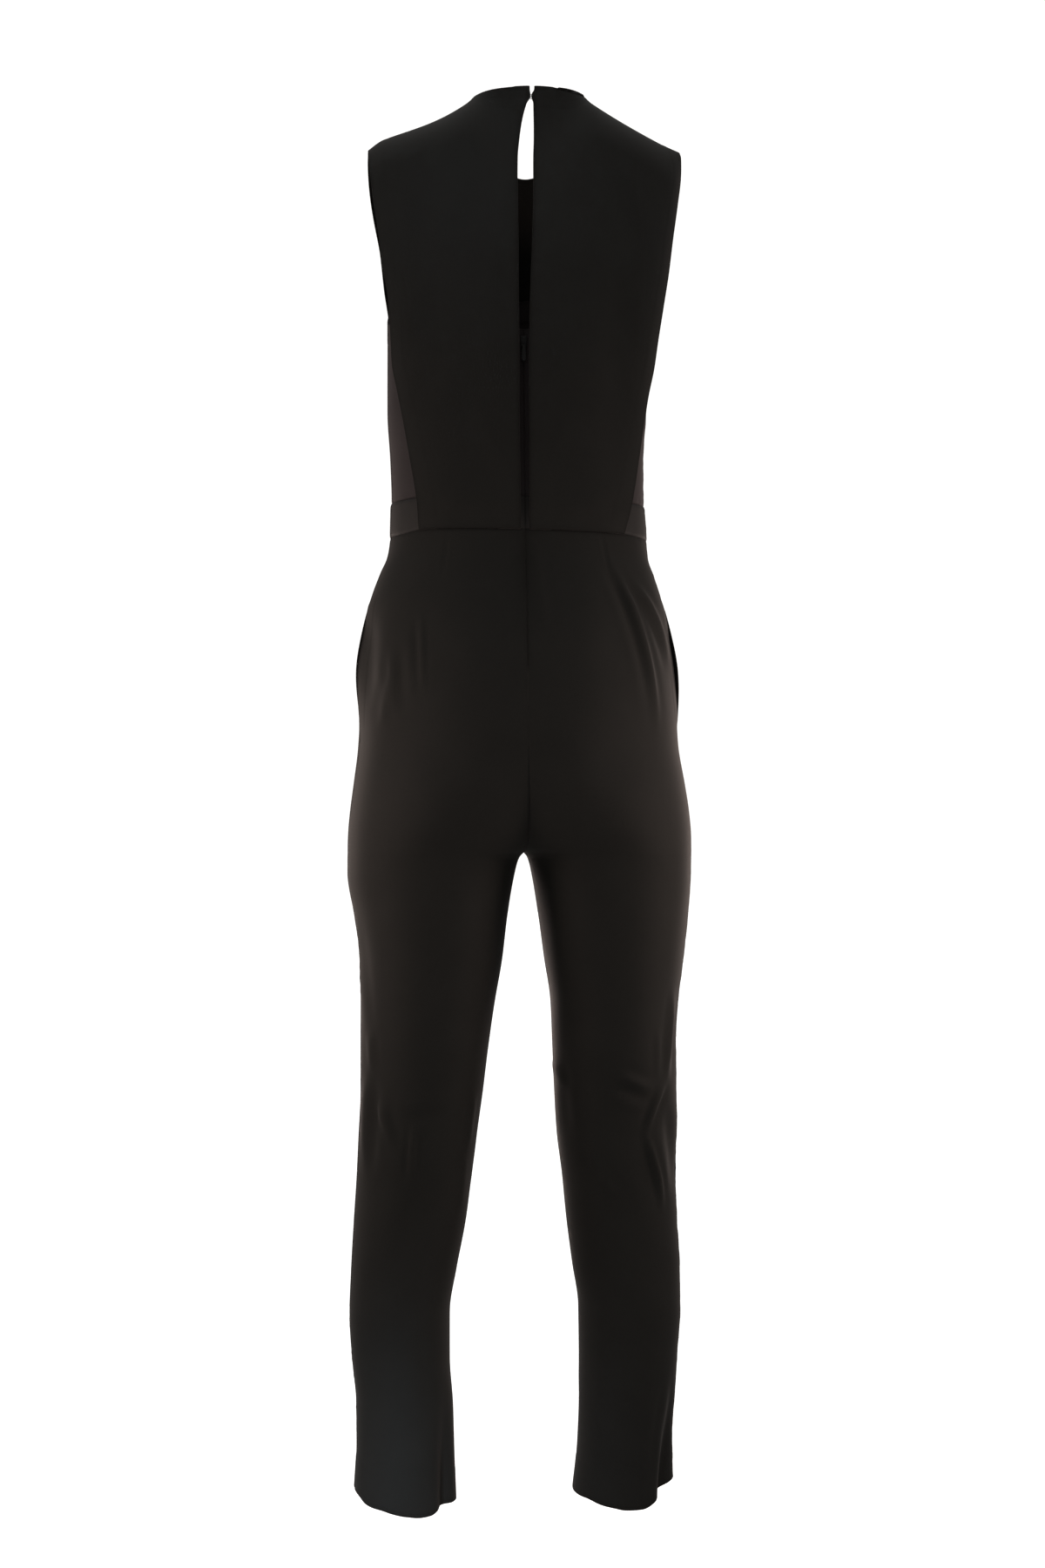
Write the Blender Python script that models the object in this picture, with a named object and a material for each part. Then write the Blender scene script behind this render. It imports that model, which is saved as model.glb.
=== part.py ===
"""Sleeveless jumpsuit, held in the hollow shape that it has when it is worn.

A strapless inner bodice, a waistband and tapered trousers are sewn into one waist seam.
Over the bodice hangs a loose overlay with a high round neck.  Its back is two free panels
with a slit between them, held together by a hook and eye at the neck.  A concealed zip
closes the centre back from the top of the bodice down to the hips.

The wearer faces -Y, so the back is at +Y and the wearer's left is at +X.  The origin is the
middle of the neck opening, level with the shoulder seams' neck ends.  Sizes are written in
millimetres, and MM turns them into metres when a mesh is made.
"""

import bisect
import math
from collections import namedtuple

import bmesh
import bpy
from mathutils import Vector

MM = 0.001

# ---------------------------------------------------------------- driving dimensions
WALL = 1.5  # thickness of the outer cloth
TAPE_WALL = 1.0  # thickness of the zip's tape and of the pocket bags
SEAM = 0.3  # gap between two pieces at a seam
ROUNDNESS = 2.2  # power of the rounded sections: 2 is an ellipse, more is squarer

NECK_HEIGHT = 2.4  # the back neckline, above the origin
WAIST = -423.0  # the seam that joins overlay, waistband and trousers
BAND_HEIGHT = 31.0
BAND_PROUD = 0.8  # the waistband lies this far outside the bodice and trousers
CROTCH = -731.0
HEM = -1345.0
WAIST_TILT = 0.018  # the left side of the waist is worn a little higher

ZIP_LEAN, CROTCH_LEAN = 1.8, -3.6  # x of the centre seam at the zip's top and at the crotch
NECK_MIDDLE = -9.7  # x of the neck opening's middle: the neck leans a little to the right
NECK_HALF_WIDTH = 56.0
NECK_BACK = 61.0
NECK_FRONT = 58.0
NECK_FRONT_DROP = 64.0
NECK_BACK_DIP = 1.3  # the neckline is a little lower at the centre back than at the shoulders
FRONT_EDGE_IN = 4.0  # below the shoulders the front's outer edges are this much further in
RIDGE_Y = -3.0  # the shoulder seams run along the top of the shoulders at this depth
NECK_SHARE = 0.36  # share of an overlay panel's top edge that is neckline, not shoulder seam

SIDE_SEAM = math.radians(6)  # angle of the side seams, a little behind the widest place
POCKET_TOP, POCKET_END = -482.0, -614.0  # the mouth in each side seam
POCKET_DEPTH = -690.0  # lowest point of the pocket bags
POCKET_GAPE = 6.5  # how far the mouth's front edge stands away
POCKET_INSIDE = 3.2  # the bag lies this far inside the trousers' outer face
# Each hem is higher at its outer side than at its inner side, and lower at the back than at the
# front.  Its twist moves the lowest place towards the outer side.
HEM_SLANT = {
    1: {"side": 6.0, "back": 12.0, "twist": -0.5},
    -1: {"side": 6.0, "back": 14.4, "twist": 2.4},
}

CUP_RISE = 15.0  # how far each cup stands out of the bodice front
CUP_X, CUP_HEIGHT, CUP_RADIUS = 76.0, -248.0, 43.0

ZIP_TOP, ZIP_END = -241.0, -562.0
ZIP_TAPE_WIDTH = 22.0
SLIDER_WIDTH, SLIDER_DEPTH, SLIDER_LENGTH = 5.0, 2.0, 10.0
BRIDGE_WIDTH = 1.2
TAB_WALL = 0.9
TAB_AXIS_OUT, TAB_AXIS_UP = 0.95, 1.6  # the tab's bar, from the slider's face and its middle

HOOK_HEIGHT = -8.0  # the hook and eye that hold the slit's top together
HOOK_WIRE, EYE_WIRE, EYE_RADIUS = 0.3, 0.35, 2.0

# ---------------------------------------------------------------- tables of sections


def smooth(xs, ys, x):
    """Read a curve through the points (xs, ys) that never overshoots them."""
    x = min(max(x, xs[0]), xs[-1])
    i = min(max(bisect.bisect_left(xs, x), 1), len(xs) - 1)
    first = max(i - 2, 0)
    nearby = range(first, min(i + 1, len(xs) - 1))
    steps = [(ys[k + 1] - ys[k]) / (xs[k + 1] - xs[k]) for k in nearby]
    here = i - 1 - first

    def slope(before, after):
        return 0.0 if before * after <= 0 else 2 * before * after / (before + after)

    start = slope(steps[here - 1], steps[here]) if here > 0 else steps[here]
    end = slope(steps[here], steps[here + 1]) if here + 1 < len(steps) else steps[here]
    h = xs[i] - xs[i - 1]
    u = (x - xs[i - 1]) / h
    return (
        ys[i - 1] * (1 + 2 * u) * (1 - u) ** 2
        + ys[i] * u * u * (3 - 2 * u)
        + h * start * u * (1 - u) ** 2
        + h * end * u * u * (u - 1)
    )


class Table:
    """Sizes in named columns.  The first column is the place along the garment."""

    def __init__(self, names, *rows):
        rows = sorted(rows)
        self.places = [row[0] for row in rows]
        self.columns = {
            name: [row[k] for row in rows] for k, name in enumerate(names.split())
        }

    def read(self, place, *names):
        found = [smooth(self.places, self.columns[name], place) for name in names]
        return found if len(found) > 1 else found[0]


# The bodice and waistband: half widths to the left and right, depths to the back and front.
TORSO = Table(
    "height left right back front",
    (-160, 129.5, 130.0, 92, 106),
    (-222, 128.5, 129.0, 89, 112),
    (-264, 128.2, 127.0, 88, 113),
    (-307, 128.0, 124.0, 86.5, 104),
    (-350, 125.4, 121.0, 85, 95),
    (-391, 124.2, 121.2, 85, 91),
    (-423, 125.0, 123.2, 86, 92),
)

# Each trouser leg is a rounded tube from x = in to x = out, seen from its own side.  Above the
# crotch the two tubes reach past the middle, where the centre seams cut them off.
LEGS = Table(
    "height left_out left_in right_in right_out back front left_y right_y",
    (-423, 125.0, -123.2, -125.0, 123.2, 86, 92, 0, 0),
    (-443, 128.8, -126.0, -128.8, 126.0, 90, 94.5, 0, 0),
    (-460, 135.5, -132.0, -135.5, 132.0, 95, 97, 0, 0),
    (-494, 146.0, -141.0, -145.0, 141.5, 106, 101, 0, 0),
    (-528, 149.5, -144.0, -148.0, 144.8, 116, 104.5, 0, 0),
    (-562, 153.0, -144.0, -147.0, 148.5, 123, 106, 0, 0),
    (-596, 155.0, -137.0, -140.0, 152.2, 127.5, 106.5, 0, 0),
    (-630, 157.1, -121.0, -123.0, 154.9, 129, 105, 0, 0),
    (-664, 161.5, -90.0, -90.0, 160.4, 127, 102, 1, 1),
    (-690, 165.0, -60.0, -57.0, 164.5, 121, 99, 1, 1),
    (-712, 167.0, -31.0, -26.0, 166.7, 112, 96, 2, 2),
    (-725, 167.4, -12.0, -5.0, 167.2, 105, 93.5, 2, 2),
    (-731, 167.4, -3.0, 4.2, 167.3, 102, 92, 2, 2),
    (-736, 167.5, 0.8, 8.0, 167.3, 100, 91, 2, 2),
    (-749, 167.5, 4.5, 11.7, 167.3, 97, 89.5, 2, 2),
    (-791, 160.8, 12.2, 18.9, 164.9, 92, 85, 3, 1),
    (-834, 155.2, 17.6, 25.7, 159.6, 86.5, 80, 3, 0),
    (-876, 154.5, 24.6, 32.1, 153.8, 81.5, 75, 4, -1),
    (-919, 154.7, 30.2, 33.3, 151.9, 77, 70, 4, -2),
    (-961, 154.7, 35.3, 35.0, 152.8, 71, 66, 5, -4),
    (-1004, 156.5, 41.6, 37.8, 153.8, 66, 62, 6, -6),
    (-1046, 158.2, 47.2, 42.8, 152.6, 61.5, 59, 8, -6),
    (-1089, 161.0, 53.4, 47.3, 153.7, 58.5, 56, 12, -5),
    (-1131, 163.7, 61.5, 52.8, 156.1, 57, 54, 17, -4),
    (-1174, 165.5, 69.0, 59.0, 156.4, 56, 52, 22, -2),
    (-1216, 163.0, 69.3, 58.9, 153.5, 54, 51, 25, -1),
    (-1259, 158.7, 66.3, 58.0, 150.9, 52, 50, 27, 0),
    (-1301, 158.4, 64.8, 57.3, 148.1, 50.5, 49.5, 29, 0),
    (-1345, 160.6, 63.2, 55.6, 149.0, 50, 49, 30, 0),
)

# The overlay: how far its back and front hang from the side plane at the middle, and the half
# width at which each face would curve round to meet that plane.
OVERLAY = Table(
    "height back back_span front front_span",
    (-423, 89.0, 129.0, 95.5, 129.0),
    (-360, 94.0, 129.0, 110, 134.0),
    (-300, 99.0, 133.0, 126, 140.0),
    (-245, 102.0, 140.0, 132, 146.0),
    (-180, 101.5, 148.0, 119, 152.0),
    (-120, 94.0, 155.0, 97, 156.0),
    (-60, 80.0, 160.0, 73, 160.0),
    (0, 62.0, 162.0, 62, 162.0),
)

# The overlay's free edges: x of the slit's two sides, and the half widths of the outer edges.
EDGES = Table(
    "height left_slit right_slit left right",
    (-423, 4.8, 4.1, 99.5, 96.6),
    (-392, 5.5, 4.1, 102.4, 104.1),
    (-353, 6.4, 3.9, 109.0, 110.8),
    (-321, 7.0, 3.6, 114.8, 115.8),
    (-290, 7.3, 3.4, 121.0, 120.8),
    (-264, 7.4, 3.3, 125.8, 126.6),
    (-239, 7.5, 3.4, 127.0, 130.2),
    (-205, 7.8, 4.1, 128.9, 136.2),
    (-171, 8.0, 5.4, 134.3, 142.6),
    (-137, 8.0, 6.9, 138.4, 147.6),
    (-103, 7.8, 8.2, 143.5, 153.2),
    (-69, 6.9, 9.0, 146.6, 157.8),
    (-52, 5.2, 9.8, 147.4, 158.2),
    (-34, 2.6, 10.1, 147.2, 157.0),
    (-16, -2.0, 10.0, 147.2, 157.0),
    (-8, -6.0, 8.2, 147.2, 157.0),
    (0, -5.2, 11.0, 147.2, 157.0),
)

# The top of each shoulder, from its neck end (0) to its tip (1).
SHOULDER = Table(
    "share left left_z right right_z",
    (0.0, 46.3, 2.4, 65.7, 2.4),
    (0.12, 56.0, -6.5, 76.0, -5.5),
    (0.35, 80.0, -20.0, 97.0, -18.0),
    (0.6, 107.0, -30.0, 118.0, -29.2),
    (0.85, 134.0, -39.5, 142.0, -40.0),
    (1.0, 147.2, -49.0, 157.0, -45.0),
)

# The bodice's top edge, from the centre back (0) round the side (0.5) to the centre front (1).
TOP_EDGE = Table(
    "share height",
    (0.0, -236),
    (0.25, -230),
    (0.5, -221),
    (0.63, -196),
    (0.76, -169),
    (0.88, -167),
    (1.0, -177),
)

# The zip's hard parts.  The slider and its bridge are outlines seen from the side, as distances
# out from the slider's face and up from its middle.
SLIDER_SIDE = (
    (-SLIDER_DEPTH, SLIDER_LENGTH / 2),
    (-0.5, SLIDER_LENGTH / 2),
    (0.0, SLIDER_LENGTH / 2 - 0.6),
    (0.0, 0.6 - SLIDER_LENGTH / 2),
    (-0.5, -SLIDER_LENGTH / 2),
    (-SLIDER_DEPTH, -SLIDER_LENGTH / 2),
)
BRIDGE_SIDE = (
    (-0.5, 3.4),
    (2.3, 3.4),
    (2.7, 2.9),
    (2.7, -2.2),
    (2.3, -2.6),
    (0.35, -2.6),
    (0.35, -1.8),
    (1.9, -1.8),
    (1.9, 2.6),
    (-0.5, 2.6),
)
# The pull tab and its eye, as half width and distance down from the bar that it turns on.
TAB_SIDE = (
    (0.0, -0.6),
    (1.4, -0.6),
    (1.9, 0.3),
    (1.8, 4.2),
    (1.35, 6.8),
    (1.9, 12.5),
    (2.2, 17.0),
    (1.5, 19.6),
    (0.0, 20.4),
)
TAB_HOLE = (
    (0.0, 0.45),
    (0.8, 0.45),
    (1.1, 0.75),
    (1.1, 1.8),
    (1.1, 2.9),
    (1.1, 4.0),
    (0.9, 4.5),
    (0.5, 4.7),
    (0.0, 4.75),
)

# The largest folds of the trousers: a panel's side and face (1 back, -1 front), the share across
# it and the height of the fold's middle, its spread in each, how far its share moves along 100 mm
# of height, and how far it stands out of the panel, or into it if that is less than zero.
Fold = namedtuple("Fold", "side face share height share_spread height_spread lean out")
FOLDS = (
    Fold(-1, 1, 0.25, -546, 0.10, 62, -0.06, 2.6),  # from the dart's end down the right hip
    Fold(1, 1, 0.29, -520, 0.09, 52, 0.02, 1.6),
    Fold(-1, 1, 0.55, -946, 0.40, 9, 0.0, 2.2),  # the breaks behind the knees
    Fold(-1, 1, 0.55, -960, 0.40, 8, 0.0, -1.8),
    Fold(1, 1, 0.55, -960, 0.35, 9, 0.0, 1.2),
    Fold(-1, -1, 0.85, -700, 0.14, 26, 0.1, 1.8),  # from the crotch outwards at the front
    Fold(1, -1, 0.85, -704, 0.14, 26, 0.1, 1.8),
)

# Heights of the trousers' rows, close together where the seat turns under into the crotch and
# at the folds behind the knees.
TROUSER_ROWS = (
    -423, -443, -466, -489, -512, -535, -558, -581, -604, -630, -655, -676, -694, -708, -718,
    -725, -731, -737, -749, -772, -805, -845, -890, -928, -946, -960, -985, -1020, -1058, -1095,
    -1132, -1174, -1216, -1259, -1301, -1345,
)  # fmt: skip
OVERLAY_ROWS = (
    0, 0.005, 0.018, 0.04, 0.07, 0.11, 0.17, 0.24, 0.32, 0.41, 0.5, 0.6, 0.7, 0.8, 0.9, 1,
)  # fmt: skip
OVERLAY_COLUMNS = (0, 0.12, 0.24, NECK_SHARE, 0.5, 0.63, 0.75, 0.86, 0.94, 1)

# ---------------------------------------------------------------- shapes of the cloth


def ease(u):
    """0 to 1 with soft ends."""
    u = min(max(u, 0.0), 1.0)
    return u * u * (3 - 2 * u)


def mix(a, b, share):
    return a + (b - a) * share


def rounded(angle, half, back, front):
    """A point of a rounded section about its own middle: 0 is the outer side, 90 the back."""
    c, s = math.cos(angle), math.sin(angle)
    x = half * math.copysign(abs(c) ** (2 / ROUNDNESS), c)
    y = (back if s > 0 else front) * math.copysign(abs(s) ** (2 / ROUNDNESS), s)
    return x, y


def end_angle(middle, half, cut):
    """The angle at which a rounded section crosses x = cut, or half a turn if it doesn't."""
    reach = (middle - cut) / half
    if reach >= 1:
        return math.pi
    return math.acos(-math.copysign(abs(reach) ** (ROUNDNESS / 2), reach))


def worn_height(x, height):
    """The waist is worn a little higher on the left, and that fades above and below it."""
    fade = ease((-80 - height) / 250) * ease((height + 620) / 180)
    return height + WAIST_TILT * x * fade


def centre_x(height):
    """The centre back seam leans to the left above the waist and to the right at the crotch."""
    if height > WAIST:
        return ZIP_LEAN * ease((height - WAIST) / (ZIP_TOP - WAIST))
    return CROTCH_LEAN * ease((-600 - height) / 130)


def bodice_skin(side, share, height):
    """The bodice's outer face: share 0 is the centre back, 0.5 the side, 1 the centre front."""
    left, right, back, front = TORSO.read(height, "left", "right", "back", "front")
    middle = side * (left - right) / 2
    half = (left + right) / 2
    end = end_angle(middle, half, side * centre_x(height))
    angle = mix(end, SIDE_SEAM, share * 2) if share < 0.5 else mix(SIDE_SEAM, -end, share * 2 - 1)
    x, y = rounded(angle, half, back, front)
    x += middle
    if y < 0:
        away = ((x - CUP_X) / CUP_RADIUS) ** 2 + ((height - CUP_HEIGHT) / CUP_RADIUS) ** 2
        y -= CUP_RISE * math.exp(-away) * min(1.0, -y / (0.7 * front))
    return Vector((side * x, y, worn_height(side * x, height)))


def trouser_skin(side, share, height):
    """The trousers' outer face: share 0 is the side seam, 1 the centre back and inner seam, and
    -1 the centre front and inner seam."""
    name = "left" if side > 0 else "right"
    out, inner, back, front, shift = LEGS.read(
        height, name + "_out", name + "_in", "back", "front", name + "_y"
    )
    middle, half = (out + inner) / 2, (out - inner) / 2
    end = end_angle(middle, half, side * centre_x(height))
    angle = mix(SIDE_SEAM, math.copysign(end, share), abs(share))
    x, y = rounded(angle, half, back, front)
    turn = ease((-1174 - height) / (-1174 - HEM))
    slant = HEM_SLANT[side]
    lower_back = slant["back"] * math.sin(angle) ** 3 + slant["twist"] * math.sin(2 * angle)
    drop = turn * (slant["side"] * math.cos(angle) - lower_back)
    x = side * (x + middle)
    return Vector((x, y + shift, worn_height(x, height) + drop))


def mouth(height):
    """How open the pocket mouth is: 0 at its ends, 1 halfway."""
    u = (height - POCKET_END) / (POCKET_TOP - POCKET_END)
    return math.sin(math.pi * min(max(u, 0.0), 1.0)) ** 2


def folded_out(side, face, share, height):
    """How far the folds move the trousers' cloth outwards here."""
    out = 0.0
    for fold in FOLDS:
        if (fold.side, fold.face) == (side, face):
            up = height - fold.height
            across = share - fold.share - fold.lean * up / 100
            out += fold.out * math.exp(
                -((across / fold.share_spread) ** 2) - (up / fold.height_spread) ** 2
            )
    return out


def trouser_panel(side, face):
    """The skin of one panel, with its folds, and its pocket edge held away or drawn in."""
    name = "left" if side > 0 else "right"

    def skin(share, height):
        point = trouser_skin(side, face * share, height)
        out, inner, shift = LEGS.read(height, name + "_out", name + "_in", name + "_y")
        middle = Vector((side * (out + inner) / 2, shift, point.z))
        inside_edges = math.sin(math.pi * share)  # the seams themselves stay where they are
        point += (point - middle).normalized() * folded_out(side, face, share, height) * inside_edges
        if face < 0:
            lift = POCKET_GAPE * (1 - min(share / 0.4, 1.0)) ** 2
        else:
            lift = -1.2 * (1 - min(share / 0.25, 1.0)) ** 2
        point.x += side * lift * mouth(height)
        return point

    return skin


def pocket_skin(side):
    """The pocket bag lies inside the trouser front: share 0 is just behind the mouth."""

    def skin(share, depth):
        end = mix(POCKET_DEPTH, POCKET_END - 12, abs(share * 2 - 0.75) ** 2.5)
        height = mix(WAIST - 10, end, depth)
        around = mix(0.05, -0.62, share)
        point = trouser_skin(side, around, height)
        forward = trouser_skin(side, around - 0.01, height) - point
        down = trouser_skin(side, around, height - 1) - point
        inside = forward.cross(down).normalized() * -side
        return point + inside * POCKET_INSIDE

    return skin


def overlay_skin(face, side, share, drop):
    """The overlay's outer face on the back (face 1) or front (face -1) of one side.

    share runs from the middle (0) to the outer edge (1), and drop from the top edge to the waist.
    """
    name = "left" if side > 0 else "right"
    across = max(share, 0.0)
    if across < NECK_SHARE:
        slit = EDGES.read(0, name + "_slit") if face > 0 else 0.0
        lean = side * NECK_MIDDLE
        start = math.acos((slit - lean) / NECK_HALF_WIDTH) if face > 0 else math.pi / 2
        angle = start * (1 - share / NECK_SHARE)
        top_x = lean + NECK_HALF_WIDTH * math.cos(angle)
        reach_y = NECK_BACK - RIDGE_Y if face > 0 else -NECK_FRONT - RIDGE_Y
        top_y = RIDGE_Y + reach_y * math.sin(angle)
        top_z = NECK_HEIGHT - (NECK_BACK_DIP if face > 0 else NECK_FRONT_DROP) * math.sin(angle) ** 2
    else:
        along = (across - NECK_SHARE) / (1 - NECK_SHARE)
        top_x, top_z = SHOULDER.read(along, name, name + "_z")
        top_y = RIDGE_Y
    height = mix(top_z, WAIST, drop)
    where = "back" if face > 0 else "front"
    depth, span = OVERLAY.read(height, where, where + "_span")
    slit, outer = EDGES.read(height, name + "_slit", name)
    if face < 0:
        slit = side * NECK_MIDDLE * (1 - ease(-height / 260))
        outer -= FRONT_EDGE_IN * ease((-60 - height) / 80)
    hang_x = mix(slit, outer, share)
    x = mix(top_x, hang_x, ease((top_z - height) / (8 + 560 * share * (1 - share))))
    squareness = 2.4 if face > 0 else 2.8
    hang_y = depth * max(1 - abs(x / span) ** squareness, 0.02) ** (1 / squareness)
    neck = 1 - min(across / NECK_SHARE, 1.0)
    reach = mix(46.0, 150.0 if face > 0 else 85.0, neck)
    fallen = 1 - min(max(top_z - height, 0.0) / reach, 1.0)
    turned = (1 - fallen ** mix(2.0, 1.4, neck)) ** mix(0.5, 1.0, neck)
    y = mix(abs(top_y - RIDGE_Y), hang_y, turned)
    x *= side
    return Vector((x, RIDGE_Y + face * y - RIDGE_Y * turned, worn_height(x, height)))


def back_depth(x, height):
    """y of the bodice's and trousers' outer face near the centre back."""
    if height > WAIST:
        left, right, back = TORSO.read(height, "left", "right", "back")
    else:
        left, right, back = LEGS.read(height, "left_out", "right_out", "back")
    middle, half = (left - right) / 2, (left + right) / 2
    return back * (1 - abs((x - middle) / half) ** ROUNDNESS) ** (1 / ROUNDNESS)


# ---------------------------------------------------------------- meshes and materials


def material(name, colour, roughness, metallic=0.0):
    made = bpy.data.materials.new(name)
    made.use_nodes = True
    shader = made.node_tree.nodes["Principled BSDF"]
    shader.inputs["Base Color"].default_value = (*colour, 1)
    shader.inputs["Roughness"].default_value = roughness
    shader.inputs["Metallic"].default_value = metallic
    made.diffuse_color = (*colour, 1)
    return made


def add_mesh(name, points, faces, finish):
    mesh = bpy.data.meshes.new(name)
    mesh.from_pydata([tuple(p * MM) for p in points], [], faces)
    mesh.materials.append(finish)
    mesh.shade_smooth()
    mesh.set_sharp_from_angle(angle=math.radians(40))
    made = bpy.data.objects.new(name, mesh)
    bpy.context.scene.collection.objects.link(made)
    return made


def cloth(name, skin, columns, rows, finish, wall=WALL, flip=False, step=0.002):
    """A closed wall whose outer face follows skin(column, row).

    Its edges stop half a seam gap short, and its inner face is one wall thickness inside.
    """
    tall = rows[-1] - rows[0]
    outer, inner = [], []
    for j, row in enumerate(rows):
        for i, column in enumerate(columns):
            point = skin(column, row)
            nudge_i = step if i < len(columns) - 1 else -step
            nudge_j = step * tall / 10 if j < len(rows) - 1 else -step * tall / 10
            across = (skin(column + nudge_i, row) - point) / nudge_i
            down = (skin(column, row + nudge_j) - point) / nudge_j * math.copysign(1, tall)
            normal = across.cross(down).normalized()
            if flip:
                normal.negate()
            if i in (0, len(columns) - 1):
                point += across.normalized() * (SEAM / 2 if i == 0 else -SEAM / 2)
            if j in (0, len(rows) - 1):
                point += down.normalized() * (SEAM / 2 if j == 0 else -SEAM / 2)
            outer.append(point)
            inner.append(point - normal * wall)
    wide, high = len(columns), len(rows)
    count = wide * high
    faces = []

    def corner(i, j):
        return j * wide + i

    for j in range(high - 1):
        for i in range(wide - 1):
            a, b = corner(i, j), corner(i + 1, j)
            c, d = corner(i + 1, j + 1), corner(i, j + 1)
            if (outer[a] - outer[c]).length < (outer[b] - outer[d]).length:
                halves = ((a, b, c), (a, c, d))
            else:
                halves = ((a, b, d), (b, c, d))
            for half in halves:
                faces.append(half)
                faces.append(tuple(count + k for k in reversed(half)))
    rim = (
        [corner(i, 0) for i in range(wide)]
        + [corner(wide - 1, j) for j in range(1, high)]
        + [corner(i, high - 1) for i in range(wide - 2, -1, -1)]
        + [corner(0, j) for j in range(high - 2, 0, -1)]
    )
    for k, a in enumerate(rim):
        b = rim[(k + 1) % len(rim)]
        faces.append((b, a, count + a, count + b))
    if flip:
        faces = [tuple(reversed(face)) for face in faces]
    return add_mesh(name, outer + inner, faces, finish)


def prism(name, outline, half_width, place, finish):
    """A block with this outline (out, up) in y and z, from x = -half_width to half_width."""
    points = [
        place + Vector((edge * half_width, out, up)) for edge in (-1, 1) for out, up in outline
    ]
    count = len(outline)
    faces = [tuple(range(count)), tuple(range(2 * count - 1, count - 1, -1))]
    for k in range(count):
        after = (k + 1) % count
        faces.append((k, count + k, count + after, after))
    made = add_mesh(name, points, faces, finish)
    face_outwards(made.data)
    return made


def plate_with_hole(name, side, hole, wall, finish):
    """A flat plate in x and z with a hole, from two half outlines (half width, distance down)
    that have as many points as each other."""

    def both_sides(half):
        return list(half) + [(-x, down) for x, down in reversed(half[1:-1])]

    loops = [
        [Vector((x, edge * wall / 2, -down)) for x, down in both_sides(half)]
        for edge in (-1, 1)
        for half in (side, hole)
    ]
    count = len(loops[0])
    faces = []
    for first, second in ((0, 1), (1, 3), (3, 2), (2, 0)):
        for k in range(count):
            after = (k + 1) % count
            near, far = first * count, second * count
            faces.append((near + k, near + after, far + after, far + k))
    made = add_mesh(name, [point for loop in loops for point in loop], faces, finish)
    face_outwards(made.data)
    return made


def face_outwards(mesh):
    shape = bmesh.new()
    shape.from_mesh(mesh)
    bmesh.ops.recalc_face_normals(shape, faces=shape.faces)
    shape.to_mesh(mesh)
    shape.free()


def wire(name, points, radius, finish, closed=False):
    """Round wire through the points, as a curve with filled ends."""
    curve = bpy.data.curves.new(name, "CURVE")
    curve.dimensions = "3D"
    curve.bevel_depth = radius * MM
    curve.bevel_resolution = 1
    curve.use_fill_caps = True
    spline = curve.splines.new("POLY")
    spline.points.add(len(points) - 1)
    for spot, point in zip(spline.points, points):
        spot.co = (*(point * MM), 1)
    spline.use_cyclic_u = closed
    curve.materials.append(finish)
    made = bpy.data.objects.new(name, curve)
    bpy.context.scene.collection.objects.link(made)
    return made


def shares(count):
    return [k / count for k in range(count + 1)]


# ---------------------------------------------------------------- the garment's pieces


def make_overlay(finish):
    for side, name in ((1, "left"), (-1, "right")):
        cloth(
            "overlay_back_" + name,
            lambda c, r, side=side: overlay_skin(1, side, c, r),
            OVERLAY_COLUMNS,
            OVERLAY_ROWS,
            finish,
            flip=side < 0,
        )
    whole = [-c for c in reversed(OVERLAY_COLUMNS[1:])] + list(OVERLAY_COLUMNS)
    cloth(
        "overlay_front",
        lambda c, r: overlay_skin(-1, 1 if c >= 0 else -1, abs(c), r),
        whole,
        OVERLAY_ROWS,
        finish,
        flip=True,
    )


def make_bodice(finish):
    band_top = WAIST + BAND_HEIGHT

    def skin(side):
        return lambda share, drop: bodice_skin(
            side, share, mix(TOP_EDGE.read(share, "height"), band_top, drop)
        )

    for side, name in ((1, "left"), (-1, "right")):
        back = [0.5 * c for c in shares(7)]
        cloth("bodice_back_" + name, skin(side), back, shares(5), finish, flip=side < 0)
    front = [mix(-1, 1, c) for c in shares(22)]
    cloth(
        "bodice_front",
        lambda c, drop: skin(1 if c >= 0 else -1)(1 - abs(c) / 2, drop),
        front,
        shares(8),
        finish,
        flip=True,
    )


def make_waistband(finish):
    heights = [WAIST + BAND_HEIGHT, WAIST + BAND_HEIGHT / 2, WAIST]

    def skin(side):
        def proud(share, height):
            point = bodice_skin(side, share, height)
            ahead = bodice_skin(side, share + 0.01, height) - point
            out = Vector((ahead.y, -ahead.x, 0)).normalized()
            return point - out * side * BAND_PROUD

        return proud

    for side, name in ((1, "left"), (-1, "right")):
        back = [0.5 * c for c in shares(7)]
        cloth("waistband_back_" + name, skin(side), back, heights, finish, flip=side < 0)
    cloth(
        "waistband_front",
        lambda c, height: skin(1 if c >= 0 else -1)(1 - abs(c) / 2, height),
        [mix(-1, 1, c) for c in shares(18)],
        heights,
        finish,
        flip=True,
    )


def make_trousers(finish):
    for side, name in ((1, "left"), (-1, "right")):
        for face, part in ((1, "back"), (-1, "front")):
            cloth(
                "trouser_" + part + "_" + name,
                trouser_panel(side, face),
                shares(8),
                TROUSER_ROWS,
                finish,
                flip=side * face > 0,
            )


def make_pockets(finish):
    for side, name in ((1, "left"), (-1, "right")):
        cloth(
            "pocket_bag_" + name,
            pocket_skin(side),
            shares(7),
            shares(12),
            finish,
            wall=TAPE_WALL,
            flip=side < 0,
        )


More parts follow.
